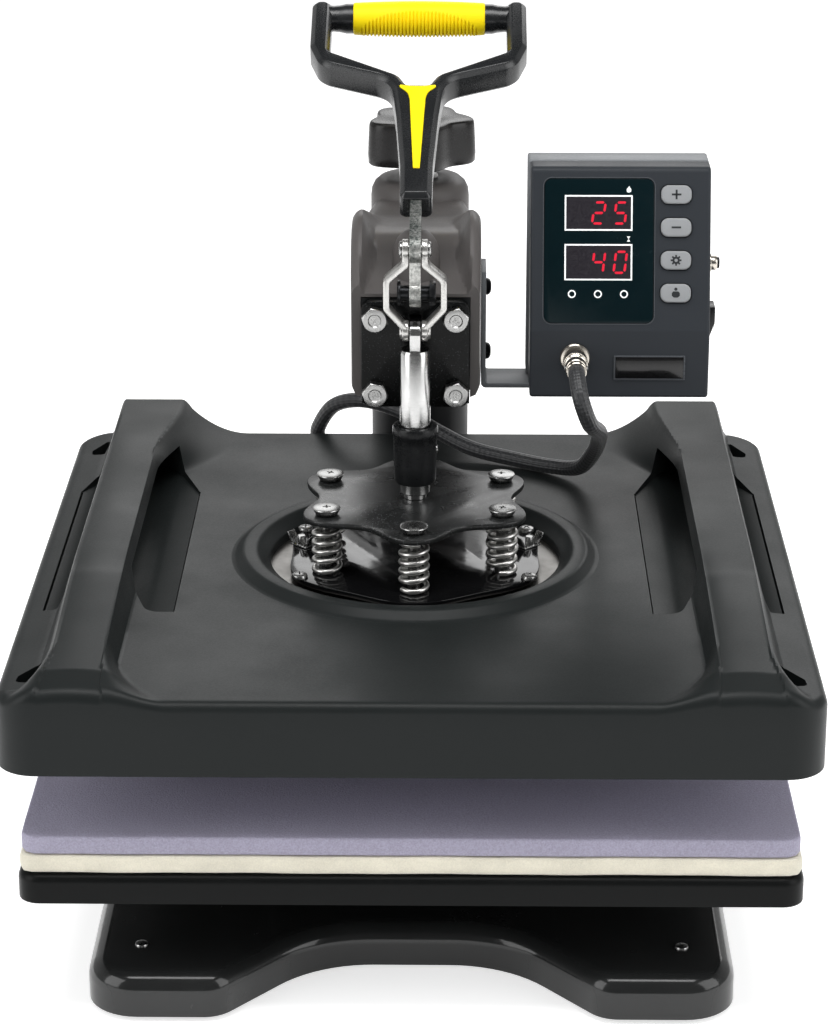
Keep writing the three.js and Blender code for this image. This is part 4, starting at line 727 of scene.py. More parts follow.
def felted(name, colour):
    """Matted wool: crossing fibres in relief and in tone, with a soft sheen."""
    material, tree, shader = new_material(name, Roughness=0.95, Sheen_Weight=0.5, Sheen_Roughness=0.6)
    clouds = noise(tree, 0.02, 4, 0.6)
    fibres = noise(tree, 0.0007, 4, 0.75)
    both = maths(tree, "ADD", maths(tree, "MULTIPLY", clouds, 0.5), maths(tree, "MULTIPLY", fibres, 0.5))
    tint(tree, remap(tree, both, 0.35, 0.65, 0, 1), scaled(colour, 0.84), scaled(colour, 1.08), shader)
    emboss(tree, fibres, shader, 0.9, 0.0006)
    return material


felt = soft_sheet("felt_sheet", "felt_pad", 6, 2.2, 0.6)
dress(felt, "base", "cream_felt", felted("cream_wool_felt", screen(240, 234, 214)), "felt_pad")


# Silicone pad: a soft sponge-silicone slab, lavender grey and finely speckled, with crisp cut edges
# and rounded corners. It lies on the felt.
def sponge(name, colour):
    """Closed-cell silicone: fine pits, tiny pale and dark specks, broad faint clouds."""
    material, tree, shader = new_material(name)
    clouds = noise(tree, 0.06, 3, 0.5)
    grit = remap(tree, noise(tree, 0.0009, 2, 0.6), 0.3, 0.7, 0, 1)
    both = maths(tree, "ADD", maths(tree, "MULTIPLY", clouds, 0.35), maths(tree, "MULTIPLY", grit, 0.65))
    tint(tree, both, scaled(colour, 0.74), scaled(colour, 1.2), shader)
    roughen(tree, clouds, 0.3, 0.7, 0.7, 0.86, shader)
    emboss(tree, grit, shader, 0.6, 0.0003)
    return material


pad = soft_sheet("silicone_slab", "silicone_pad", 8, 1.2, 0.3)
dress(pad, "base", "grey_silicone", sponge("speckled_silicone", screen(164, 160, 180)), "silicone_pad")


# Heated platen and its shield: a ground aluminium plate with a steel disc on top of it. Both keep
# the shape of their solids.
aluminium = surface("ground_aluminium", screen(172, 173, 174), 0.36, 0.0016, 0.00002, 0.08, metallic=1.0)
sheet_steel = surface("shield_steel", screen(120, 118, 115), 0.36, 0.004, 0.00003, 0.22, metallic=1.0,
                      cloud=0.012)
finish(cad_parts["heat_platen"], aluminium)
finish(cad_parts["heat_shield"], sheet_steel)


# Platen cover: one deep moulding in charcoal plastic with a fine grain. Two ridges to carry it by
# grow out of its deck, with a hollow under each; it hangs on posts over the heated platen.
DECK_HALF = 180
DECK_CORNER = 20
EDGE_ROUND = 5
LIP_AT = DECK_CORNER - EDGE_ROUND
LIP_LINE = DECK_HALF + LIP_AT
RING_SPAN = 10
ARC_SHARES = (0.17, 0.33, 0.5, 0.67, 0.83, 1)
SKIRT_SHARES = (0.3, 0.65, 1)
cover_low, cover_high = node_box("platen_cover")
RIDGE_RISE = 21
DECK_Z = cover_high.z - RIDGE_RISE
SKIRT_Z = cover_low.z
# The ridges' top from the front: nose, first break and second break, and the rise at each
NOSE_Y, NOSE_RISE = -200, 4.6
STEP_Y, STEP_RISE = -183, 10.6
SLOPE_END_Y = -64
CREST_Y, CREST_SPAN, CREST_DIP = -78, 34, 1.22


def ease(value):
    """A smooth rise from 0 to 1."""
    value = min(1, max(0, value))
    return value * value * (3 - 2 * value)


def between(value, low, high, first, last):
    """A value's place in one span carried over to another, held at its ends."""
    share = min(1, max(0, (value - low) / (high - low)))
    return first + (last - first) * share


def ridge_top(y):
    """Rise of the ridges' top along them."""
    if y > CREST_Y:
        return RIDGE_RISE - CREST_DIP * (1 - ease((y - CREST_Y) / CREST_SPAN))
    if y > STEP_Y:
        return between(y, STEP_Y, SLOPE_END_Y, STEP_RISE, RIDGE_RISE)
    return between(y, NOSE_Y, STEP_Y, NOSE_RISE, STEP_RISE)


def ridge_rise(x, y):
    """Height of the ridges above the deck, from the middle of the pads."""
    x = abs(x)
    top = ridge_top(y)
    front = between(y, -200, -150, 1, 0) ** 1.8
    rear = ease((y - 96) / 96)
    inner_foot = 143 - 30 * front - 43 * rear
    inner_top = 149 - 2 * front - 9.5 * rear
    outer_top = 173 + 6 * front
    outer_foot = 181.5 + 17 * front
    if x <= inner_foot or x >= outer_foot:
        return 0
    if x < inner_top:
        share = (x - inner_foot) / (inner_top - inner_foot)
        hollow = share ** 2.1 if share < 0.86 else 1 - (1 - 0.86 ** 2.1) * ((1 - share) / 0.14) ** 1.6
        return top * (ease(share) * (1 - rear) + hollow * rear)
    if x > outer_top:
        return top * ease((outer_foot - x) / (outer_foot - outer_top))
    crown = (x - inner_top) / (outer_top - inner_top)
    return top - 0.9 * (1 - min(1, 4 * crown * (1 - crown))) * (1 - rear)


def cover_point(u, v):
    """A point of the moulding: u and v run over the deck, round its edge and down its skirt."""
    over_u, over_v = max(0, abs(u) - DECK_HALF), max(0, abs(v) - DECK_HALF)
    ring = max(over_u, over_v)
    if ring <= LIP_AT:
        out, drop, skirt = ring, 0, 0
    elif ring <= LIP_AT + RING_SPAN:
        angle = (ring - LIP_AT) / RING_SPAN * pi / 2
        out, drop, skirt = LIP_AT + EDGE_ROUND * sin(angle), EDGE_ROUND * (1 - cos(angle)), 0
    else:
        out, drop, skirt = DECK_CORNER, EDGE_ROUND, (ring - LIP_AT - RING_SPAN) / RING_SPAN
    share = out / hypot(over_u, over_v) if ring else 0
    x = (DECK_HALF + share * over_u) * (1 if u > 0 else -1) if over_u else u
    y = (DECK_HALF + share * over_v) * (1 if v > 0 else -1) if over_v else v
    strip_fall = between(abs(x), 183, 196, 0, 1.2) if abs(x) > 183 and y > -184 else 0
    lip = DECK_Z + ridge_rise(x, y) - strip_fall - drop
    return x, y + PADS_Y, lip + (SKIRT_Z - lip) * skirt


def spaced(*spans):
    """Values along the spans (start, end, count), each start kept once."""
    values = []
    for start, end, count in spans:
        values += [start + (end - start) * step / count for step in range(count)]
    return values + [spans[-1][1]]


border = [181.5, 183, 184.5, 186, 188, 190, 192, 193.5, LIP_LINE]
border += [LIP_LINE + RING_SPAN * share for share in ARC_SHARES]
border += [LIP_LINE + RING_SPAN + RING_SPAN * share for share in SKIRT_SHARES]
across = spaced((0, 96, 16), (96, 140, 30), (140, 151, 12), (151, 171, 10), (171, DECK_HALF, 9)) + border
along = spaced((-DECK_HALF, -148, 16), (-148, -50, 33), (-50, 96, 37), (96, DECK_HALF, 34))
columns = [-value for value in reversed(across[1:])] + across
rows = [-value for value in reversed(border)] + along + border
shell = mend(grid_points("cover_shell", [[cover_point(u, v) for u in columns] for v in rows]))


def slot_cutter(side):
    """The hollow under one ridge: a shallow trough that reaches the deck on both sides of it."""
    plan = round_corners([
        (122, -84, 0), (136, -84, 12), (146, -50, 14), (150, -44, 4), (176, -44, 4), (182, -82, 2),
        (188.5, -82, 0), (188.5, 96, 0), (181.5, 121, 0), (176, 126, 0), (149, 166, 0), (144.5, 162, 0),
        (122, 94, 0),
    ], 6)
    tool = slab("slot", [(x, y + PADS_Y) for x, y in plan], DECK_Z - 30, DECK_Z + 11.5)
    section = round_corners([
        (121.9, DECK_Z + 20, 0), (121.9, DECK_Z - 1.6, 0), (137, DECK_Z - 5.5, 30), (153, DECK_Z - 14, 18),
        (175, DECK_Z - 8, 10), (188.6, DECK_Z - 1.4, 0), (188.6, DECK_Z + 20, 0),
    ], 8)
    trough = moved(slab("trough", section, -200, 200), MIDDLE, (pi / 2, 0, 0))
    return moved(cut_with(tool, trough, operation="INTERSECT"), size=(side, 1, 1))


def gap_cutter(x, y0, y1, side):
    """The narrow dark gap along a slot's edge."""
    left, right = sorted((side * x, side * (x + 0.9)))
    return box_piece("gap", left, right, PADS_Y + y0, PADS_Y + y1, DECK_Z - 9, DECK_Z + 6)


def drop_cutter(side, y, lean):
    """A drop-shaped drain slot beside a ridge."""
    outline = round_corners([(-4, -11, 2), (3.4, -11, 3.2), (4.6, -4, 4), (-1.5, 12, 0.8), (-3.4, 10, 1)], 5)
    tool = moved(slab("drop", outline, DECK_Z - 9, DECK_Z + 4), turn=(0, 0, lean))
    return moved(tool, (side * 185.2, PADS_Y + y, 0), size=(side, 1, 1))


def hole_tool(radius, low, high, sides):
    """The cutter of a round hole about z."""
    return turned("hole", [(0, low), (radius, low), (radius, high), (0, high)], sides)


room = slab("room", square(197, 17), SKIRT_Z - 1, SKIRT_Z + 15)
middle_room = slab("middle_room", rectangle(-119, 119, PADS_Y - 196, PADS_Y + 196, 4),
                   SKIRT_Z + 5, DECK_Z - 3)
cut_with(shell, room, middle_room, moved(hole_tool(92, SKIRT_Z - 2, DECK_Z + 9, 96), MIDDLE))
for side in (-1, 1):
    cut_with(shell, slot_cutter(side), gap_cutter(121.6, -84, 94, side), gap_cutter(188, -82, 96, side),
             drop_cutter(side, 168, 0.1), drop_cutter(side, -163, 0.25))
moulded = surface("charcoal_moulding", screen(29, 32, 32), 0.4, 0.0009, 0.00003, 0.07, cloud=0.05, gloss=0.15)
dress(smooth(shell, 32), "platen", "cover_plastic", moulded, "platen_cover")


# Bezel: the moulded ring round the cover's hole. It stands on the deck with a steep outer side and
# a flat crest, and its inner side slopes down to the edge of the hole.
BEZEL = [
    (77, -7), (77, -1.6), (77.5, -0.6), (83.2, 3.6), (84.2, 4.2), (85.4, 4.5), (90.4, 4.5), (91.4, 4.3),
    (92.2, 3.7), (95.4, 0.8), (96.4, 0.25), (98, -0.02), (98, -3), (79.5, -3), (79.5, -7),
]
bezel = turned("cover_bezel", [(radius, DECK_Z + rise) for radius, rise in BEZEL], 160)
dress(smooth(moved(bezel, MIDDLE), 28), "platen", "cover_plastic", moulded)


# Suspension plate: six lobes of glossy black steel, flush with the deck in the cover's hole. The
# springs stand on it and the shoulder bolts pass through it.
BOLT_CIRCLE = 53
BOLT_HOLE = 3.6
BOLT_ANGLES = [pi / 6 + pi / 3 * bolt for bolt in range(6)]
BOLT_PLACES = [(BOLT_CIRCLE * cos(a), PADS_Y + BOLT_CIRCLE * sin(a), 0) for a in BOLT_ANGLES]
LOBE_SIDES = 144


def lobed(name, radius, wave, low, high, bore=0.0):
    """A six-lobed plate with a hole for each bolt and one for the rod, its edges broken."""
    outline = []
    for side in range(LOBE_SIDES):
        angle = 2 * pi * side / LOBE_SIDES
        reach = radius + wave * cos(6 * (angle - pi / 6))
        outline.append((reach * cos(angle), reach * sin(angle) + PADS_Y))
    plate = soften(slab(name, outline, low, high), 0.5, 2, 60)
    for place in BOLT_PLACES:
        cut_with(plate, moved(hole_tool(BOLT_HOLE, low - 1, high + 1, 24), place))
    if bore:
        cut_with(plate, moved(hole_tool(bore, low - 1, high + 1, 32), MIDDLE))
    return smooth(plate)


piano = surface("piano_black", screen(12, 12, 13), 0.09, 0.006, 0.00003, 0.2, gloss=0.5)
suspension = lobed("suspension_plate_lobes", 68, 2.5, DECK_Z - 3, DECK_Z)
dress(suspension, "platen", "gloss_black", piano, "suspension_plate")
for number, (x, y) in enumerate([(-60, 34.5), (60, 34.5), (-60, -35.5), (60, -35.5)]):
    pan_screw(f"shield_screw_{number + 1}", "platen", (x, PADS_Y + y, DECK_Z + 0.1), (0, 0, number * 0.8),
              4.2, 2.4)


# Thermal cut-outs: a stud between two bent tags on each side of the suspension plate, zinc plated.
for side in (-1, 1):
    tag = box_piece(f"fuse_tag_{side}", -5.5, 5.5, -3, 3, 0, 0.9, 0.3)
    stud = turned(f"fuse_stud_{side}", [(0, 0.9), (2.2, 0.9), (2.2, 5.2), (1.8, 5.8), (0, 6)], 20)
    ears = [box_piece("fuse_ear", -0.5, 0.5, -2.6, 2.6, 0, 7, 0.3) for _ in range(2)]
    for end, ear in zip((-1, 1), ears):
        moved(ear, (end * 4.6, 0, 0.5), (0, end * 0.5, 0))
    fuse = joined(f"fuse_clip_{side}", tag, stud, *ears)
    moved(fuse, (side * 61, PADS_Y + 11, DECK_Z + 0.1), (0, 0, side * 0.7))
    dress(fuse, "platen", "bright_steel", zinc)


# Springs: six compression springs of bright wire, ends closed and ground flat. They stand on the
# suspension plate round the shoulder bolts and carry the spider plate.
SPRING_LOW = DECK_Z + 0.3
SPRING_HIGH = DECK_Z + 28.7
WIRE = 1.45
COIL = 6.75
TURNS = 5.25
TURN_STEPS = 26
CLOSED_TURNS = 0.9
spring_wire = surface("spring_wire", screen(214, 213, 210), 0.34, 0.0009, 0.00001, 0.1, metallic=1.0)


def coil_path(x, y, start):
    """The wire's middle line about (x, y), close-wound at both ends, in metres."""
    count = int(TURNS * TURN_STEPS)
    path = []
    for step in range(count + 1):
        share = step / count
        lift = min(1, min(share, 1 - share) * TURNS / CLOSED_TURNS)
        height = SPRING_LOW + WIRE + (SPRING_HIGH - SPRING_LOW - 2 * WIRE) * share
        edge = SPRING_LOW + WIRE if share < 0.5 else SPRING_HIGH - WIRE
        angle = start + 2 * pi * TURNS * share
        z = edge + (height - edge) * ease(lift)
        path.append(((x + COIL * cos(angle)) * MM, (y + COIL * sin(angle)) * MM, z * MM))
    return path


for number, (x, y, _) in enumerate(BOLT_PLACES):
    coil = swept(f"spring_coil_{number + 1}", coil_path(x, y, number * 0.9), WIRE * MM, 10)
    dress(coil, "platen", "bright_steel", spring_wire, f"spring_{number + 1}")
    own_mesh(coil)


# Shoulder bolts: pan heads with a cross recess that stand on the spider plate; their shanks run
# through the springs into the heated platen.
SHOULDER = [
    (0, -11.7), (2.9, -11.7), (3.2, -11), (3.2, 32.3), (5.4, 32.3), (5.8, 32.5), (7.1, 34.9), (7.3, 35.4),
    (7.1, 35.8), (6.2, 36.05), (3.6, 36.25), (0, 36.3),
]
shoulder = turned("shoulder_bolt", [(radius, DECK_Z + rise) for radius, rise in SHOULDER])
smooth(cut_with(shoulder, *cross_cutter(2.1, DECK_Z + 34.9, DECK_Z + 38, 1.0)))
for number, place in enumerate(BOLT_PLACES):
    bolt = copied(shoulder, f"shoulder_bolt_piece_{number + 1}", place, (0, 0, number * 0.55))
    dress(bolt, "platen", "bright_steel", zinc, f"shoulder_bolt_{number + 1}")
bpy.data.objects.remove(shoulder)


# Spider plate: the six-lobed black plate that the ram bears on, satin with a sparkle in its coat.
FLECKS_PER_METRE = 2600


def speckled(name, colour, sparkle, roughness, gloss):
    """Black paint with fine bright flecks."""
    material, tree, shader = new_material(name, Specular_IOR_Level=gloss)
    flecks = tree.nodes.new("ShaderNodeTexVoronoi")
    flecks.inputs["Scale"].default_value = FLECKS_PER_METRE
    tree.links.new(coordinates(tree), flecks.inputs["Vector"])
    level = noise(tree, 0.35, 0, source=flecks.outputs["Color"])
    tint(tree, remap(tree, level, 0.7, 0.76, 0, 1), colour, sparkle, shader)
    roughen(tree, noise(tree, 0.02, 3), 0.3, 0.7, roughness - 0.06, roughness + 0.06, shader)
    emboss(tree, noise(tree, 0.0008), shader, 0.5, 0.00003)
    return material


spider_paint = speckled("spider_paint", screen(24, 25, 25), screen(92, 94, 96), 0.3, 0.5)
spider = lobed("spider_plate_lobes", 58, 7, DECK_Z + 29, DECK_Z + 32, 5.3)
dress(spider, "ram", "satin_black", spider_paint, "spider_plate")


# Ram: a polished steel rod on the spider plate. Its top is milled to a thin blade with an eye, and
# a tail of the blade slides in the slot of the clamp bracket.
def polished(name, colour, roughness):
    """Ground and polished bar: hair-fine rings round the axis, faint stains, bright metal."""
    material, tree, shader = new_material(name, Metallic=1)
    split = tree.nodes.new("ShaderNodeSeparateXYZ")
    tree.links.new(coordinates(tree), split.inputs[0])
    stretched = tree.nodes.new("ShaderNodeCombineXYZ")
    for axis, stretch in (("X", 0.15), ("Y", 0.15), ("Z", 1)):
        tree.links.new(maths(tree, "MULTIPLY", split.outputs[axis], stretch), stretched.inputs[axis])
    rings = noise(tree, 0.0004, 3, 0.6, stretched.outputs[0])
    tint(tree, noise(tree, 0.012, 3), scaled(colour, 0.85), scaled(colour, 1.1), shader)
    roughen(tree, rings, 0.3, 0.7, roughness - 0.05, roughness + 0.06, shader)
    emboss(tree, rings, shader, 0.5, 0.000006)
    return material


def side_on(piece, x=0.0):
    """A slab drawn as y and z, with its thickness across the press, stands up in its place."""
    return moved(piece, (x, PADS_Y, 0), (pi / 2, 0, pi / 2))


PIN_C_Z = 301
rod = turned("ram_rod_bar", [
    (0, DECK_Z + 27), (5, DECK_Z + 27), (5, DECK_Z + 32.2), (5.9, DECK_Z + 32.3), (5.9, 211.9), (7.2, 212),
    (7.7, 212.5), (7.7, 217.2), (8, 218), (8, 289.4), (7.4, 291), (0, 291),
], 64)
blade_outline = round_corners([
    (-6, 286, 0), (6, 286, 0), (8, 290, 1), (22, 290, 0.5), (22, 304, 0.5), (9, 304, 1), (5, 305.6, 2.5),
    (0, 306, 3), (-5, 304, 4), (-6, 300, 2),
], 6)
blade = soften(side_on(slab("blade", blade_outline, -2.8, 2.8)), 0.4, 2)
chrome = polished("polished_rod", screen(198, 198, 197), 0.18)
dress(joined("ram_rod_whole", moved(rod, MIDDLE), blade), "ram", "bright_steel", chrome, "ram_rod")
sleeve = turned("coupling_collar", [
    (8.2, 219), (9.4, 218), (10.4, 218.3), (11, 219.6), (11.2, 228), (11.4, 240), (11.5, 243.6),
    (11.9, 244.4), (12, 245.2), (12, 248.4), (11.6, 249.3), (10.8, 249.5), (9.2, 249.5), (8.2, 248.7),
], 64)
coarse = surface("textured_black_coat", screen(22, 23, 24), 0.3, 0.0011, 0.00016, 0.3)
dress(moved(sleeve, MIDDLE), "ram", "satin_black", coarse, "coupling_sleeve")
grub = turned("collar_grub", [
    (0, -1), (2.2, -1), (2.2, 0.2), (1.9, 0.5), (1.2, 0.5), (1.0, -0.6), (0, -0.6),
], 24)
dress(moved(grub, (11.5, PADS_Y, 236), (0, pi / 2, 0)), "ram", "bright_steel", zinc)


# Clamp bracket: a thick black plate bolted to the arm, with two ears for the fixed pivot and two
# guide cheeks for the ram. Four hexagon bolts hold it.
PLATE_BACK = -24
PLATE_FRONT = -30.3
PLATE_BOLT_OUT = 21.25
plate = slab("bracket_plate", rectangle(-28.5, 28.5, 255, 313, 5.5), 0, 6)
parts = [soften(moved(plate, (0, PLATE_BACK, 0), (pi / 2, 0, 0)), 0.7)]
for side in (-1, 1):
    ear = slab(f"ear_{side}", round_corners([
        (-7, 314.4, 7), (18, 302.5, 0), (18, 331, 0), (4, 329, 3), (-7, 328.4, 7),
    ], 10), -1.85, 1.85)
    parts.append(soften(side_on(ear, side * 5.35), 0.4, 2))
    parts.append(box_piece(f"cheek_{side}", *sorted((side * 3.2, side * 7.9)), -25, -18, 247, 304, 0.5))
clamp = cut_with(joined("clamp_bracket", *parts), box_piece("blade_way", -3.15, 3.15, -32, -15, 254, 306))
bracket_paint = speckled("bracket_paint", screen(8, 9, 9), screen(60, 62, 64), 0.26, 0.15)
dress(smooth(clamp), "arm", "gloss_black", bracket_paint, "toggle_bracket")
for number, (side, z) in enumerate([(-1, 263), (1, 263), (-1, 304), (1, 304)]):
    head = hexagon_head("head", 7.1, 5.6)
    cut_with(head, turned("dish", [(0, 4.9), (3.0, 5.0), (3.7, 5.7), (3.7, 7), (0, 7)], 32))
    marks = [box_piece("mark", x0, x1, y0, y1, 4.7, 5.35, 0.12, 1) for x0, x1, y0, y1 in
             ((-1.6, -0.9, -1.6, 0.4), (-0.2, 0.5, -0.6, 1.8), (1.0, 1.7, -1.4, 0.6))]
    shank = turned("shank", [(0, -14), (3.7, -14), (3.9, -13), (3.9, 0.5), (0, 0.5)], 24)
    bolt = smooth(joined(f"bracket_bolt_{number + 1}", head, shank, *marks), 32)
    moved(bolt, turn=(0, 0, 0.35 + number * 0.5))
    moved(bolt, (side * PLATE_BOLT_OUT, PLATE_FRONT, z), (pi / 2, 0, 0))
    dress(bolt, "arm", "bright_steel", zinc, f"plate_bolt_{number + 1}")


# Fixed pivot: a bolt through both ears and the lever, a low round head on one side and a hexagon
# nut on the other.
PIVOT_Z = 321.4


def lying(piece, z):
    """A piece turned about z lies across the press at this height, over the middle of the pads."""
    return moved(piece, (0, PADS_Y, z), (0, pi / 2, 0))


pivot = turned("pivot_bolt", [
    (0, -9.4), (5.4, -9.4), (6.4, -9), (6.7, -8.2), (6.7, -7.6), (4, -7.6), (4, 9.6), (3.4, 10.6), (0, 10.6),
], 40)
nut = moved(hexagon_head("nut", 6.8, 3.2), (0, 0, 7.5))
dark_bolt = surface("blackened_bolt", screen(40, 41, 43), 0.32, 0.0009, 0.00002, 0.3, metallic=0.8,
                    cloud=0.004)
dress(lying(joined("fixed_pivot", pivot, nut), PIVOT_Z), "arm", "bright_steel", dark_bolt, "lever_pin")


# Arm: a welded steel beam with a flange in front and a spigot that turns in the column.
finish(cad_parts["swing_arm"], satin)


# Arm cover: a brown-grey moulded housing over the beam. Two shoulders with a valley between them run
# back from the clamp and flow into the round drum over the column.
COVER_FRONT = -23.7
DRUM_Y = 194.5
HOUSING_LOW = 258
SHOULDER_ROUND = 7
# Each station: share of the length, half width, crest, valley and half width of the valley's floor
STATIONS = [
    (0, 33.6, 321, 315.4, 27.5), (0.03, 34.2, 328, 317.6, 25.5), (0.07, 34.4, 336, 321, 22.5),
    (0.11, 34.5, 343, 325.5, 20.5), (0.15, 34.5, 347.6, 330, 20.5), (0.19, 34.5, 348.8, 333.4, 22),
    (0.23, 34.4, 348, 335.4, 22), (0.3, 34.1, 343.5, 334.6, 18), (0.4, 33.6, 336.5, 331, 16),
    (0.52, 32.8, 328, 326, 16), (0.66, 31.6, 320, 319.4, 14), (0.8, 30, 316, 316, 14),
    (0.93, 27.5, 313.5, 313.5, 14),
]
EDGE_SHARES = [
    1, 0.993, 0.98, 0.96, 0.93, 0.9, 0.87, 0.83, 0.79, 0.745, 0.7, 0.65, 0.6, 0.54, 0.48, 0.38, 0.25, 0.12, 0,
]


def housing_ring(share, half, crest, valley, floor_half):
    """One cross-section of the housing, from its lower right edge over the top to the left."""
    ring = [(half - 6, HOUSING_LOW), (half - 1.8, HOUSING_LOW + 1.8), (half, HOUSING_LOW + 6),
            (half, HOUSING_LOW + 30)]
    for place in EDGE_SHARES:
        x = half * place
        rise = ease((x - floor_half) / max(2.5, half * 0.86 - floor_half))
        over = max(0, x - (half - SHOULDER_ROUND))
        fall = SHOULDER_ROUND - max(0, SHOULDER_ROUND ** 2 - over ** 2) ** 0.5
        ring.append((x, valley + (crest - valley) * rise - fall))
    ring += [(-x, z) for x, z in reversed(ring[:-1])] + ring[:1]
    y = COVER_FRONT + (DRUM_Y - COVER_FRONT) * share
    return [(x, y, z) for x, z in ring]


def clamp_window():
    """The cutter of the opening in front, where the clamp's plate stands."""
    return box_piece("window", -28.8, 28.8, -40, -10, 250, 313.6)


housing = mend(grid_points("arm_housing", [housing_ring(*station) for station in flowing(STATIONS, 4)]))
smooth(cut_with(housing, clamp_window()), 40)
drum = turned("arm_drum", [
    (0, 260), (26, 258), (27.6, 258.6), (28.8, 260.4), (28.8, 312), (28.3, 316.4), (26.6, 320), (23.8, 322.4),
    (20.4, 323), (12, 323), (10.8, 322.2), (6, 322.2), (5.4, 321), (0, 321),
], 96)
arm_plastic = surface("warm_grey_moulding", screen(84, 81, 80), 0.4, 0.0011, 0.00004, 0.08, cloud=0.04)
housing = joined("arm_housing_whole", housing, moved(drum, (0, DRUM_Y, 0)))
dress(housing, "arm", "arm_plastic", arm_plastic, "arm_cover")
dome = turned("housing_dome", [
    (0, 300), (11, 300), (12.8, 316), (12.8, 329), (12.1, 335), (10, 340), (6.4, 343.6), (0, 345),
], 64)
modify(moved(dome, (0, -2, 0)), "SUBSURF", levels=1, render_levels=1)
dress(smooth(cut_with(dome, clamp_window()), 40), "arm", "arm_plastic", arm_plastic)


# Pressure knob: a five-lobed hand knob in a darker plastic, slightly hollow below, on the pressure
# screw. The screw has a lock nut under the knob and a washer on the drum.
KNOB_LOW = 333
KNOB_RADIUS, KNOB_WAVE = 29, 3.5
KNOB_TURN = radians(-81)
KNOB_STEPS = 90
# Each ring of the knob: share of its reach, and rise
KNOB_RINGS = [
    (0.62, 1), (0.9, 0), (0.97, 0), (1, 1), (1.01, 6), (1, 14), (0.99, 20), (0.985, 23), (0.975, 24.4),
    (0.955, 25.2), (0.93, 25.6), (0.88, 25.8), (0.5, 26), (0.46, 25.6), (0.2, 25.4),
]
knob_rings = []
for share, rise in KNOB_RINGS:
    ring = []
    for step in range(KNOB_STEPS + 1):
        angle = 2 * pi * step / KNOB_STEPS
        wave = cos(5 * (angle - KNOB_TURN)) if share > 0.6 else 0
        reach = (KNOB_RADIUS + KNOB_WAVE * wave) * share
        ring.append((reach * cos(angle), DRUM_Y + reach * sin(angle), KNOB_LOW + rise))
    knob_rings.append(ring)
knob = smooth(mend(grid_points("pressure_knob_lobes", knob_rings)), 40)
knob_plastic = surface("knob_moulding", screen(30, 29, 29), 0.28, 0.0011, 0.00003, 0.08, cloud=0.04,
                       gloss=0.28)
dress(knob, "knob", "arm_plastic", knob_plastic, "pressure_knob")
THREAD_LOW, THREAD_PITCH, THREAD_TURNS = 281, 1.5, 33
thread = [(0, THREAD_LOW - 1)]
for turn in range(THREAD_TURNS):
    z = THREAD_LOW + turn * THREAD_PITCH
    thread += [(5, z), (4.3, z + THREAD_PITCH / 2)]
thread += [(5, 331), (0, 331)]
screw = turned("pressure_screw_thread", thread, 32)
lock_nut = moved(hexagon_head("lock_nut", 9, 4), (0, 0, 328.6))
seat_washer = turned("seat_washer", [(5.4, 0), (10.3, 0), (10.6, 0.4), (10.3, 0.9), (5.4, 0.9)], 40)
screw = joined("pressure_screw_whole", screw, lock_nut, moved(seat_washer, (0, 0, 323.2)))
dress(moved(screw, (0, DRUM_Y, 0)), "knob", "bright_steel", zinc, "pressure_screw")


# Toggle lever: a forged flat bar with two eyes, one on the fixed pivot and one on the links' pin.
# Its upper arm goes up into the handle. It is left rough from the forge, and darker above its eyes.
PIN_B_Z = 344.7
EYE_RADIUS = 7.5
BAR_LENGTH, BAR_HALF = 58, 5
HANDLE_LEAN = radians(23)


def forged(name):
    """Rough zinc over forged steel: dark scale in the hollows, bright grain, a pitted relief, and darker
    towards the top of the bar.
    """
    material, tree, shader = new_material(name, Metallic=0.85)
    scale_marks = noise(tree, 0.0014, 5, 0.7)
    broad = noise(tree, 0.014, 2)
    heights = tree.nodes.new("ShaderNodeSeparateXYZ")
    tree.links.new(coordinates(tree), heights.inputs[0])
    # The bar turns darker towards its top, above the eyes, and lighter below them.
    darker_towards_top = remap(tree, heights.outputs["Z"], 0.346, 0.352, 0.06, -0.07)
    mixed = maths(tree, "ADD", maths(tree, "MULTIPLY", scale_marks, 0.6), maths(tree, "MULTIPLY", broad, 0.4))
    level = maths(tree, "ADD", mixed, darker_towards_top)
    tint(tree, remap(tree, level, 0.36, 0.66, 0, 1), screen(56, 64, 62), screen(206, 206, 202), shader)
    roughen(tree, level, 0.35, 0.65, 0.58, 0.3, shader)
    emboss(tree, scale_marks, shader, 0.8, 0.00012)
    return material


def arc(z, first, last, steps=24):
    """Points round an eye at this height, as y and z, between two angles in degrees."""
    angles = [radians(first + (last - first) * step / steps) for step in range(steps + 1)]
    return [(EYE_RADIUS * cos(a), z + EYE_RADIUS * sin(a)) for a in angles]


lean_cos, lean_sin = cos(HANDLE_LEAN), sin(HANDLE_LEAN)
bar_end = [(BAR_LENGTH * lean_cos - half * lean_sin, PIN_B_Z + BAR_LENGTH * lean_sin + half * lean_cos)
           for half in (-BAR_HALF, BAR_HALF)]
lever_outline = [*arc(PIVOT_Z, 132, 408), *arc(PIN_B_Z, -48, -19, 4), *bar_end, *arc(PIN_B_Z, 65, 228, 16)]
lever = soften(side_on(slab("toggle_lever", lever_outline, -3, 3)), 0.45, 2)
dress(lever, "lever", "bright_steel", forged("forged_steel"), "lever_bar")
link_rivet = turned("link_rivet", [
    (0, -8.6), (2.6, -8.55), (3.9, -8.2), (4.4, -7.6), (4.4, -7.0), (3.5, -6.8), (3.5, 6.8), (4.4, 7.0),
    (4.4, 7.6), (3.9, 8.2), (2.6, 8.55), (0, 8.6),
], 40)
dress(lying(link_rivet, PIN_B_Z), "lever", "bright_steel", zinc, "link_pin")


# Links: two flat steel bars bent outwards round the ears of the clamp and back in to the ram's
# blade. A rivet goes through both at each end. They are zinc plated.
LINK_THICK = 3.2
BEND_RADII = (0, 3, 3, 3, 3, 0)
OUTER_BEND = 1.6


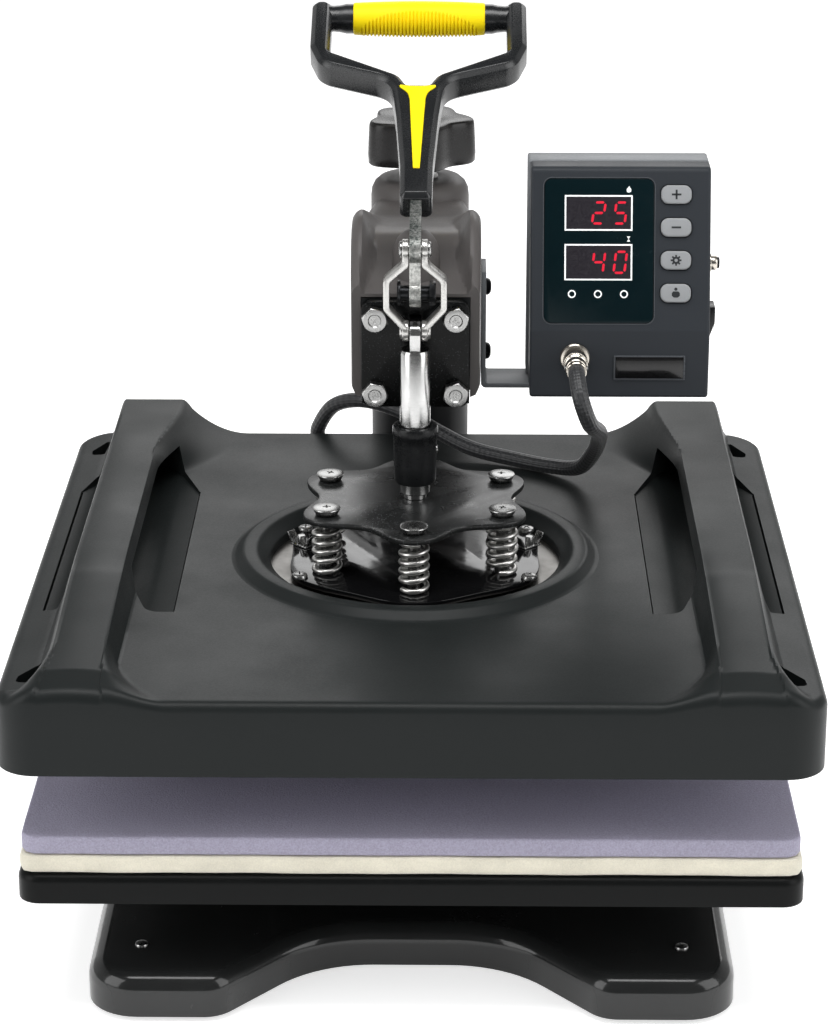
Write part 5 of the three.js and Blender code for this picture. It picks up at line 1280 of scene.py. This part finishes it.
def beside(path, reach):
    """A line of (x, z) points moved sideways by this reach, its corners mitred."""
    shifted = []
    for place, (x, z) in enumerate(path):
        ways = []
        for first, second in ((place - 1, place), (place, place + 1)):
            if 0 <= first and second < len(path):
                run = Vector(path[second]) - Vector(path[first])
                ways.append(Vector((-run.y, run.x)).normalized())
        side = sum(ways, Vector((0, 0))).normalized()
        stretch = reach / side.dot(ways[0])
        shifted.append((x + side.x * stretch, z + side.y * stretch))
    return shifted


link_path = [
    (3.4, PIN_B_Z + 0.5), (3.4, 336.5), (13.3, 327.9), (13.3, 314.2), (3.4, 303.4), (3.4, PIN_C_Z - 0.5),
]
inner = [(x, z, radius) for (x, z), radius in zip(link_path, BEND_RADII)]
outer = [(x, z, radius * OUTER_BEND) for (x, z), radius in zip(beside(link_path, LINK_THICK), BEND_RADII)]
strip = slab("link_strip", round_corners(inner + outer[::-1], 6), -5, 5)
soften(moved(strip, MIDDLE, (pi / 2, 0, 0)), 0.6, 2)
EYE = [(0, 3.4), (5.0, 3.4), (5.5, 3.8), (5.5, 6.2), (5.0, 6.6), (0, 6.6)]
RIVET_HEAD = [(0, 6.5), (4.4, 6.6), (4.4, 7.3), (3.8, 8.0), (2.4, 8.25), (0, 8.3)]
eyes = [lying(turned("link_eye", profile, 40), z)
        for profile, z in ((EYE, PIN_B_Z), (EYE, PIN_C_Z), (RIVET_HEAD, PIN_C_Z))]
link_right = smooth(joined("link_right_bar", strip, *eyes))
link_left = copied(link_right, "link_left_bar", size=(-1, 1, 1))
plated = surface("plated_bar", screen(206, 205, 202), 0.3, 0.0008, 0.00005, 0.16, metallic=0.9, cloud=0.006)
dress(link_left, "links", "bright_steel", plated, "link_left")
dress(link_right, "links", "bright_steel", plated, "link_right")


# Handle: a Y-shaped yoke moulded in black plastic with a broad chamfer round both faces. Its foot
# holds the lever's bar, and the core of the grip runs between its two posts.
YOKE_HALF = 60
YOKE_END = 214
YOKE_FACE = 8.5
GRIP_AXIS = 207
# Corners on one side, as shares: x of the half width, y of the length, radius of the half width
YOKE_SHARES = [
    (0.14, 0.164, 0.05), (0.145, 0.3, 0.5), (0.19, 0.5, 0.6), (0.24, 0.645, 0.25), (0.9, 0.715, 0.22),
    (1, 0.8, 0.15), (1, 1, 0.08), (0.817, 1, 0.08), (0.817, 0.775, 0.08), (0.18, 0.672, 0.12),
    (0.1, 0.628, 0.06),
]
INLAY_SHARES = [
    (0.03, 0.27, 0.01), (0.072, 0.56, 0.2), (0.09, 0.586, 0.15), (0.165, 0.608, 0.04), (0.165, 0.618, 0.02),
    (0.06, 0.612, 0.2),
]


def yoke_outline(shares, spread=0.0):
    """A mirrored outline from shares of the yoke's half width and length, moved outwards by the spread."""
    outline = round_corners(mirrored([(x * YOKE_HALF, y * YOKE_END, r * YOKE_HALF) for x, y, r in shares]))
    grown = []
    for place, (x, y) in enumerate(outline):
        run = (Vector(outline[(place + 1) % len(outline)]) - Vector(outline[place - 1])).normalized()
        grown.append((x + run.y * spread, y - run.x * spread))
    return grown


def leaned(piece):
    """A piece drawn flat, with the lever's line along y, is leaned back on the links' pin."""
    return moved(piece, (0, PADS_Y, PIN_B_Z), (HANDLE_LEAN, 0, 0))


yoke = slab("handle_yoke_body", yoke_outline(YOKE_SHARES), -YOKE_FACE, YOKE_FACE)
bevel(yoke, 2.6, 1, 60)
bevel(yoke, 0.35, 2, 34)
recess = slab("recess", yoke_outline(INLAY_SHARES, 0.3), YOKE_FACE - 1.2, YOKE_FACE + 2)
smooth(cut_with(yoke, recess, box_piece("bar_slot", -3.3, 3.3, 30, 58.5, -5.3, 5.3)))
core = turned("grip_core", [
    (0, -51), (7.6, -51), (7.2, -48), (7.6, -44), (8.3, -41), (8.3, 41), (7.6, 44), (7.2, 48), (7.6, 51),
    (0, 51),
])
yoke = leaned(joined("handle_yoke_body", yoke, moved(core, (0, GRIP_AXIS, 0), (0, pi / 2, 0))))
yoke_plastic = surface("yoke_black_moulding", screen(20, 22, 24), 0.27, 0.0009, 0.00002, 0.1, gloss=0.6)
dress(yoke, "lever", "yoke_plastic", yoke_plastic, "handle_yoke")
yellow = surface("yellow_moulding", screen(250, 224, 8), 0.42, 0.0009, 0.00003, 0.05)
inlay = slab("handle_inlay_plate", yoke_outline(INLAY_SHARES), YOKE_FACE - 1.1, YOKE_FACE + 0.4)
dress(leaned(soften(inlay, 0.35, 2)), "lever", "yellow_plastic", yellow, "handle_inlay")


# Grip: a yellow sleeve over the core, thickest in the middle. Close ribs run round the side that the
# fingers pull on, inside an arched border, and the rest is smooth.
GRIP_HALF = 37
RIB_PITCH = 2.07
RIB_HALF = 33.5
RIB_SPAN = 88
RIB_TURN = -25
RIB_STEPS = 6
# Inset and dip of the rounded ends
GRIP_ENDS = [(0, 0.9), (0.15, 0.4), (0.6, 0.1)]
GRIP_START = 1.2


def grip_reach(x, turn):
    """The sleeve's radius at this place along it and this many degrees round from its front."""
    barrel = 9.9 - (x / GRIP_HALF) ** 2
    span = RIB_SPAN * max(0, 1 - (x / RIB_HALF) ** 2) ** 0.5
    off = abs((turn - RIB_TURN + 180) % 360 - 180)
    groove = (0.5 - 0.5 * cos(2 * pi * x / RIB_PITCH)) ** 1.5
    return barrel + ease((span - off) / 6) * (0.4 - 1.25 * groove)


rib_steps = int(2 * (GRIP_HALF - GRIP_START) / RIB_PITCH * RIB_STEPS)
grip_places = [(inset - GRIP_HALF, dip) for inset, dip in GRIP_ENDS]
grip_places += [(GRIP_START - GRIP_HALF + step * RIB_PITCH / RIB_STEPS, 0) for step in range(rib_steps + 1)]
grip_places += [(GRIP_HALF - inset, dip) for inset, dip in reversed(GRIP_ENDS)]
grip_rings = []
for x, dip in grip_places:
    ring = []
    for turn in range(0, 365, 5):
        reach = grip_reach(x, turn) - dip
        ring.append((x, GRIP_AXIS - reach * cos(radians(turn)), reach * sin(radians(turn))))
    grip_rings.append(ring)
grip = leaned(smooth(mend(grid_points("ribbed_grip", grip_rings)), 50))
soft_yellow = surface("soft_yellow_rubber", screen(247, 219, 6), 0.55, 0.0007, 0.00004, 0.06, cloud=0.02)
dress(grip, "lever", "yellow_plastic", soft_yellow, "handle_grip")


# Control box: a dark moulded shell whose face leans back over a low upright lip. A window and four
# keys are let into the face, and a bare plate stands on the lip.
CASE_LEFT, CASE_RIGHT = 60.3, 154.8
# Foot and top of the leaning face, y from the pads' middle and z
FACE_FOOT, FACE_TOP = (20, 295), (45, 377)
FACE_PLACE = ((CASE_LEFT + CASE_RIGHT) / 2, PADS_Y + FACE_FOOT[0], FACE_FOOT[1])
FACE_TURN = (atan2(FACE_TOP[1] - FACE_FOOT[1], FACE_TOP[0] - FACE_FOOT[0]), 0, 0)
WINDOW = ((-11.4, 42), (57.4, 75.6))
KEY_U, KEY_V, KEY_PITCH = 29, 20, 17.2
KEY_SIZE = (16, 9.8)
KEY_CORNER = 4
SWITCH_Y, SWITCH_Z = 7.5, 293


def on_face(piece):
    """A piece drawn flat, its face up, is laid on the leaning face of the control box."""
    return moved(piece, FACE_PLACE, FACE_TURN)


def face_tile(name, place, size, corner, low, high, gap=0.0):
    """A rounded tile about its place on the face, drawn flat, with a gap added on all sides."""
    half_u, half_v = size[0] / 2 + gap, size[1] / 2 + gap
    outline = rectangle(place[0] - half_u, place[0] + half_u, place[1] - half_v, place[1] + half_v, corner)
    return slab(name, outline, low, high)


def key_tile(name, number, corner, low, high, gap=0.0):
    """A tile at the place of this key."""
    return face_tile(name, (KEY_U, KEY_V + KEY_PITCH * number), KEY_SIZE, corner, low, high, gap)


def switch_block(name, x0, x1, half_y, half_z, edge=0.0):
    """A block about the middle line of the switch."""
    return box_piece(name, x0, x1, SWITCH_Y - half_y, SWITCH_Y + half_y, SWITCH_Z - half_z,
                     SWITCH_Z + half_z, edge)


case_outline = round_corners([(60, 258, 0), (60, 377, 0), (*FACE_TOP, 4), (*FACE_FOOT, 5), (20, 258, 2)], 10)
case = bevel(side_on(slab("control_case_shell", case_outline, CASE_LEFT, CASE_RIGHT)), 1.6, 4, 60)
cut_with(case, on_face(face_tile("window_seat", *WINDOW, 4.4, -1.3, 3, 0.4)))
for number in range(4):
    cut_with(case, on_face(key_tile("key_pocket", number, KEY_CORNER + 0.5, -6, 3, 0.5)))
smooth(cut_with(case, switch_block("switch_way", 150.5, 157, 6.8, 10.3)), 32)
case_plastic = surface("case_moulding", screen(50, 53, 57), 0.38, 0.0008, 0.00003, 0.07, cloud=0.04,
                       gloss=0.08)
dress(case, "arm", "case_plastic", case_plastic, "control_case")

# Window frame: a fine raised line of the same moulding round the window, coloured lighter than the case as a
# painted highlight
trim_painted_highlight = surface("case_trim_painted_highlight", screen(74, 77, 81), 0.3, 0.0008, 0.00002, 0.08)
window_frame = face_tile("window_frame", *WINDOW, 4.8, -0.6, 0.25, 0.85)
cut_with(window_frame, face_tile("opening", *WINDOW, 4.3, -1.6, 1.25, 0.35))
dress(on_face(soften(window_frame, 0.075, 1)), "arm", "case_plastic", trim_painted_highlight)


# Bare plate: it stands on the lip, glossy black, in a thin raised border that is coloured lighter than the
# case as a painted highlight.
def plate_block(name, inset, y0, y1, edge=0.0):
    """A block as wide and high as the plate's border, less an inset on all sides."""
    return box_piece(name, 104.6 + inset, 142.2 - inset, y0, y1, 268.2 + inset, 281.6 - inset, edge)


plate_border = plate_block("plate_border", 0, -23.2, -21, 0.25)
cut_with(plate_border, plate_block("opening", 0.7, -26, -22.6))
dress(smooth(plate_border), "arm", "case_plastic", trim_painted_highlight)
plate_black = surface("plate_gloss_black", screen(16, 16, 17), 0.18, 0.002, 0.00002, 0.15, coat=0.5)
dress(plate_block("bare_plate", 0.9, -23.05, -22, 0.2), "arm", "gloss_black", plate_black)


# Display window: a smoked plastic plate flush with the face. Behind it two red read-outs stand in
# white frames, over three small rings; a flame and an hourglass mark the two read-outs.
smoked = surface("smoked_window", screen(5, 22, 26), 0.2, 0.004, 0.00001, 0.12, cloud=0.05)
window_plate = face_tile("window_plate", *WINDOW, 4, -1.2, 0)
dress(on_face(soften(window_plate, 0.25, 2)), "arm", "display_plastic", smoked, "display_window")
INK = 0.06
# Sides of each read-out on the face: left, right, foot and top
READ_OUTS = [(-29.5, 6.1, 52.6, 71.2), (-29.5, 6.1, 26.6, 45.6)]
READ_OUT_FRAME = 0.8
# Segments that are lit for each digit, in the order top, upper right, lower right, foot, lower left,
# upper left, middle
LIT = {"2": (0, 1, 3, 4, 6), "4": (1, 2, 5, 6), "5": (0, 2, 3, 5, 6), "0": (0, 1, 2, 3, 4, 5)}
# Both ends of each segment, in digit widths and half digit heights
SEGMENT_ENDS = [
    ((0, 2), (1, 2)), ((1, 1), (1, 2)), ((1, 0), (1, 1)), ((0, 0), (1, 0)), ((0, 0), (0, 1)),
    ((0, 1), (0, 2)), ((0, 1), (1, 1)),
]
DIGIT_WIDE, DIGIT_HIGH, SEGMENT = 5.7, 11.0, 1.25
SEGMENT_GAP, SEGMENT_POINT = 0.55, 0.6
SLANT = 0.12


def printed(name, outlines, material, high=INK):
    """Flat printed marks on the face, each from its outline, as one piece."""
    marks = [slab(name, outline, 0, high) for outline in outlines]
    mark = on_face(joined(name, *marks) if len(marks) > 1 else marks[0])
    dress(mark, "arm", "display_plastic", material)


def box_outline(u0, u1, v0, v1):
    """The four corners of a rectangle."""
    return [(u0, v0), (u1, v0), (u1, v1), (u0, v1)]


def frame_bars(u0, u1, v0, v1, wide):
    """The four bars of a rectangular frame."""
    return [box_outline(u0, u1, v0, v0 + wide), box_outline(u0, u1, v1 - wide, v1),
            box_outline(u0, u0 + wide, v0 + wide, v1 - wide),
            box_outline(u1 - wide, u1, v0 + wide, v1 - wide)]


def glowing_mark(name, colour, strength):
    """A printed or lit mark behind the smoked window: faintly uneven and softly glowing; the red read-outs
    give their own light, and on white print the glow is a painted glow.
    """
    material, tree, shader = new_material(name, Emission_Color=colour, Emission_Strength=strength)
    grain = noise(tree, 0.0012, 2)
    tint(tree, grain, scaled(colour, 0.85), scaled(colour, 1.05), shader)
    roughen(tree, grain, 0.3, 0.7, 0.35, 0.5, shader)
    return material


def segment_outline(index, u, v):
    """One lit bar of a digit whose lower left corner is at (u, v): a six-sided bar, slanted."""
    start, end = (Vector((x * DIGIT_WIDE, y * DIGIT_HIGH / 2)) for x, y in SEGMENT_ENDS[index])
    way = (end - start).normalized()
    over = Vector((-way.y, way.x)) * SEGMENT / 2
    start, end = start + way * SEGMENT_GAP, end - way * SEGMENT_GAP
    point = way * SEGMENT_POINT
    bar = [start, start + point - over, end - point - over, end, end - point + over, start + point + over]
    return [(u + p.x + SLANT * p.y, v + p.y) for p in bar]


def ring_marks(u, v, outer, inner, sides=24):
    """A printed ring as short four-sided pieces."""
    pieces = []
    for side in range(sides):
        a, b = (2 * pi * (side + step) / sides for step in (0, 1))
        pieces.append([(u + r * cos(angle), v + r * sin(angle)) for r, angle in
                       ((inner, a), (outer, a), (outer, b), (inner, b))])
    return pieces


# The white print is given a painted glow of 0.35; only the red read-outs give light of their own.
white_print_painted_glow = glowing_mark("white_print_painted_glow", screen(236, 238, 238), 0.35)
red_light = glowing_mark("red_light", screen(200, 14, 44), 0.42)
dim_light = glowing_mark("unlit_read_out", screen(26, 22, 30), 0.0)
for number, sides in enumerate(READ_OUTS):
    printed(f"read_out_field_{number + 1}", [box_outline(*sides)], dim_light, 0.03)
    printed(f"read_out_frame_{number + 1}", frame_bars(*sides, READ_OUT_FRAME), white_print_painted_glow)
for number, text in enumerate(("25", "40")):
    u0, u1, v0, v1 = READ_OUTS[number]
    bars = []
    for place, digit in enumerate(text):
        left = u1 - 21.2 + place * 11.4
        bars += [segment_outline(index, left, (v0 + v1) / 2 - DIGIT_HIGH / 2) for index in LIT[digit]]
    printed(f"read_out_{number + 1}", bars, red_light, 0.05)
for number, u in enumerate((-25.5, -11.8, 1.9)):
    printed(f"ring_mark_{number + 1}", ring_marks(u, 19.4, 2.1, 1.4), white_print_painted_glow)
flame = [(0, -1.7), (1.1, -1.2), (1.3, 0), (0.6, 1), (0.2, 1.9), (-0.5, 0.9), (-1.2, 0.1), (-1.1, -1.2)]
glass = [[(-0.9, 1.35), (0, 0), (0.9, 1.35)], [(-0.9, -1.35), (0.9, -1.35), (0, 0)]]
printed("flame_mark", [[(x + 4.1, y + 74.2) for x, y in flame]], white_print_painted_glow)
printed("hourglass_mark", [[(x + 4.1, y + 48.3) for x, y in half] for half in glass], white_print_painted_glow)


# Keys: four soft grey keys with rounded shoulders, each with a dark mark: minus, plus, a toothed
# wheel and a small bell shape.
WHEEL_TEETH = 8
DOT_RADIUS = 0.85


def dot_outline(u, v):
    """A small twelve-sided dot."""
    return [(u + DOT_RADIUS * cos(pi * side / 6), v + DOT_RADIUS * sin(pi * side / 6)) for side in range(12)]


key_rubber = surface("grey_key_rubber", screen(142, 144, 146), 0.55, 0.0009, 0.00003, 0.05)
key_ink = surface("key_ink", screen(44, 46, 48), 0.5, 0.0007, 0.00001, 0.1)
wheel = []
for tooth in range(WHEEL_TEETH):
    for turn, reach in ((-0.3, 1.955), (-0.2, 2.875), (0.2, 2.875), (0.3, 1.955)):
        angle = 2 * pi * (tooth + turn) / WHEEL_TEETH
        wheel.append((reach * cos(angle), reach * sin(angle)))
bell = mirrored([(1.0, -2.3), (2.1, -1.4), (2.1, 0.1), (1.4, 0.9)])
bar_across = box_outline(-2.5, 2.5, -0.5, 0.5)
bar_up = box_outline(-0.5, 0.5, -2.5, 2.5)
KEY_MARKS = {
    "timer": [bell, dot_outline(0, 2.1)],
    "mode": [wheel],
    "minus": [bar_across],
    "plus": [bar_across, bar_up],
}
for number, (key, marks) in enumerate(KEY_MARKS.items()):
    v = KEY_V + KEY_PITCH * number
    cap = smooth(bevel(key_tile(f"key_cap_{key}", number, KEY_CORNER, -3.2, 1.6), 0.9, 4, 60), 50)
    dress(on_face(cap), f"key_{key}", "button_rubber", key_rubber, f"button_{key}")
    for part, outline in enumerate(marks):
        mark = slab(f"key_mark_{key}_{part + 1}", [(x + KEY_U, y + v) for x, y in outline], 1.58, 1.66)
        dress(on_face(mark), f"key_{key}", "button_rubber", key_ink)
wheel_bore = slab("key_mark_bore", dot_outline(KEY_U, KEY_V + KEY_PITCH), 1.6, 1.7)
dress(on_face(wheel_bore), "key_mode", "button_rubber", key_rubber)


# Rear pan: a light grey steel pan that closes the control box, held by a screw near each corner.
PAN_BACK = 35.5
pan_paint = surface("light_grey_paint", screen(112, 115, 118), 0.4, 0.0011, 0.00005, 0.06)
pan = box_piece("control_pan", 59.1, CASE_RIGHT, 17.8, PAN_BACK, 258, 377, 1.4, 3)
dress(pan, "arm", "grey_metal", pan_paint, "control_back")
for number, (x, z) in enumerate([(66, 264), (148, 264), (66, 371), (148, 371)]):
    pan_screw(f"pan_screw_{number + 1}", "arm", (x, PAN_BACK, z), (-pi / 2, number * 0.6, 0), 3.2, 1.9)


# Switch: a black rocker in a thin frame on the side of the box, marked with a bar and a ring.
SWITCH_TILT = radians(10)
MARK_LEAN = 0.165
switch_black = surface("switch_black", screen(22, 22, 24), 0.3, 0.0015, 0.00002, 0.12, coat=0.2)


def on_switch(piece):
    """A piece drawn about the rocker's pivot is tipped to its resting side and put in place."""
    return moved(piece, (CASE_RIGHT, SWITCH_Y, SWITCH_Z), (0, SWITCH_TILT, 0))


rocker_outline = round_corners([
    (-2.2, -7.6, 0.6), (3.0, -8.9, 0.7), (4.5, 0, 3), (3.0, 8.9, 0.7), (-2.2, 7.6, 0.6),
], 4)
rocker = soften(moved(slab("switch_rocker_cap", rocker_outline, -6.4, 6.4), turn=(pi / 2, 0, 0)), 0.35, 2)
dress(on_switch(rocker), "rocker", "gloss_black", switch_black, "switch_rocker")
# The white bar and ring on the rocker are print with a painted glow.
on_bar = box_piece("switch_bar_mark", 3.55, 3.85, -0.3, 0.3, -6.2, -3.4)
moved(on_bar, (0.8, 0, 0), (0, -MARK_LEAN, 0))
dress(on_switch(on_bar), "rocker", "display_plastic", white_print_painted_glow)
off_ring = mend(turned("switch_ring_mark", [(0.9, 0), (1.4, 0), (1.4, 0.25), (0.9, 0.25)], 24), False)
moved(off_ring, (3.62, 0, 4.9), (0, pi / 2 - MARK_LEAN, 0))
dress(on_switch(off_ring), "rocker", "display_plastic", white_print_painted_glow)
switch_frame = switch_block("switch_frame", CASE_RIGHT, 156, 8.2, 12.4, 0.35)
cut_with(switch_frame, switch_block("opening", 150, 160, 6.7, 10.1))
dress(smooth(switch_frame), "arm", "gloss_black", switch_black)


# Fuse holder: a nickel-plated collar screwed through the side, with a slotted black cap.
FUSE_PLACE = (CASE_RIGHT, SWITCH_Y, 324)
nickel = surface("nickel_plate", screen(200, 194, 184), 0.2, 0.0008, 0.00002, 0.12, metallic=1.0, cloud=0.01)
collar = turned("fuse_collar", [
    (0, 0.2), (4.8, 0.2), (4.8, 1.4), (4.5, 1.8), (3.9, 1.9), (3.9, 4.4), (3.6, 4.9), (3.0, 5.0),
    (3.0, 4.4), (0, 4.4),
], 40)
cap = turned("fuse_cap_disc", [(0, 4.3), (3.0, 4.3), (3.0, 5.8), (2.7, 6.2), (0, 6.2)], 32)
cut_with(cap, box_piece("driver_slot", -4, 4, -0.45, 0.45, 5.4, 7))
for piece in (collar, cap):
    moved(piece, FUSE_PLACE, (0, pi / 2, 0))
dress(collar, "arm", "bright_steel", nickel, "fuse_holder")
dress(smooth(cap), "arm", "gloss_black", switch_black)


# Power inlet: a black moulded socket set in the rear pan, with three flat pins.
inlet = box_piece("inlet_socket", 92.6, 122.6, 35.8, 39.6, 288, 312, 0.8, 3)
inlet_hole = slab("opening", round_corners([
    (96, 291.5, 1), (119, 291.5, 1), (119, 305, 1), (115.5, 308.5, 1), (99.5, 308.5, 1), (96, 305, 1),
], 4), -60, -37)
smooth(cut_with(inlet, moved(inlet_hole, turn=(pi / 2, 0, 0))))
dress(inlet, "arm", "satin_black", switch_black, "power_inlet")
for number, (x, z) in enumerate([(101, 298), (114, 298), (107.5, 303)]):
    pin = box_piece(f"inlet_pin_{number + 1}", x - 1, x + 1, 36.6, 39.2, z - 2, z + 2, 0.3, 1)
    dress(pin, "arm", "bright_steel", zinc)


# Bracket: light grey steel angle that carries the control box from the side of the arm. Two black
# button screws hold it to the arm.
BRACKET_Y = 16
BRACKET_HALF = 13.5
angle_outline = round_corners([
    (34.8, 255.2, 2.6), (92.3, 255.2, 0.4), (92.3, 257.7, 0.4), (37.3, 257.7, 1.6), (37.3, 319.7, 0.4),
    (34.8, 319.7, 0.4),
], 6)
angle = slab("bracket_angle", angle_outline, -BRACKET_HALF, BRACKET_HALF)
moved(angle, (0, BRACKET_Y, 0), (pi / 2, 0, 0))
dress(soften(angle, 0.3, 2), "arm", "grey_metal", pan_paint, "control_bracket")
button_black = surface("button_screw_black", screen(28, 28, 30), 0.3, 0.0006, 0.00001, 0.15, metallic=0.6)
button = turned("button", [
    (0, 0), (4.4, 0), (4.6, 0.6), (4.1, 1.7), (2.9, 2.5), (1.9, 2.75), (1.8, 1.4), (0, 1.4),
], 32)
for number, z in enumerate((272, 308)):
    screw = copied(button, f"bracket_screw_{number + 1}", (37.4, BRACKET_Y, z), (0, pi / 2, 0))
    dress(screw, "arm", "satin_black", button_black)
bpy.data.objects.remove(button)


# Cable plug: a nickel-plated round connector on the lip. A flange and a knurled ring hold the plug,
# and a clamp with two screws grips the cable where it leaves.
SOCKET_X, SOCKET_Y, SOCKET_Z = 84, PADS_Y + 20, 280.5
KNURLS = 36
plug_body = turned("plug_body", [
    (0, 0.2), (8, 0.2), (8, 2.3), (7.4, 3.1), (6.3, 3.3), (6.3, 4.4), (5.9, 4.6), (5.9, 13.6), (6.2, 13.9),
    (6.2, 14.6), (5.6, 15.3), (5.3, 15.5), (5.3, 16.6), (5.7, 17), (5.7, 20.6), (5.4, 21.2), (5.0, 21.5),
    (5.0, 24.6), (5.3, 25), (5.3, 25.6), (4.9, 26), (0, 26),
], 56)
knurled = []
for tooth in range(KNURLS * 2):
    reach = 6.6 if tooth % 2 else 6.15
    knurled.append((reach * cos(pi * tooth / KNURLS), reach * sin(pi * tooth / KNURLS)))
plug = joined("cable_plug", plug_body, soften(slab("plug_ring", knurled, 5.2, 12.8), 0.25, 1, 50))
moved(plug, (SOCKET_X, SOCKET_Y, SOCKET_Z), (pi / 2, 0, 0))
dress(plug, "arm", "bright_steel", nickel, "cable_socket")
for side in (-1, 1):
    pan_screw(f"plug_screw_{side}", "arm", (SOCKET_X + side * 5.5, SOCKET_Y - 18.8, SOCKET_Z),
              (0, side * pi / 2, 0), 1.3, 0.8, 20)


# Gland: a black elbow on the rear wall of the cover, its hexagon nut closed on the cable.
gland_x, gland_y = gland_middle.x / MM, gland_middle.y / MM
gland_black = surface("gland_black", screen(28, 28, 30), 0.45, 0.0012, 0.00004, 0.12)
elbow = box_piece("gland_elbow", -69, -51, 157.8, 173.8, 145, 161, 2.2, 4)
nut = moved(hexagon_head("gland_nut", 6.8, 6.8), (gland_x, gland_y, 161.2))
lip = turned("gland_lip", [(4.7, 6.2), (5.9, 6.2), (5.9, 6.9), (5.4, 7.2), (4.7, 7.2)], 32)
gland = joined("cable_gland_whole", elbow, nut, moved(lip, (gland_x, gland_y, 160.8)))
dress(gland, "platen", "foot_rubber", gland_black, "cable_gland")
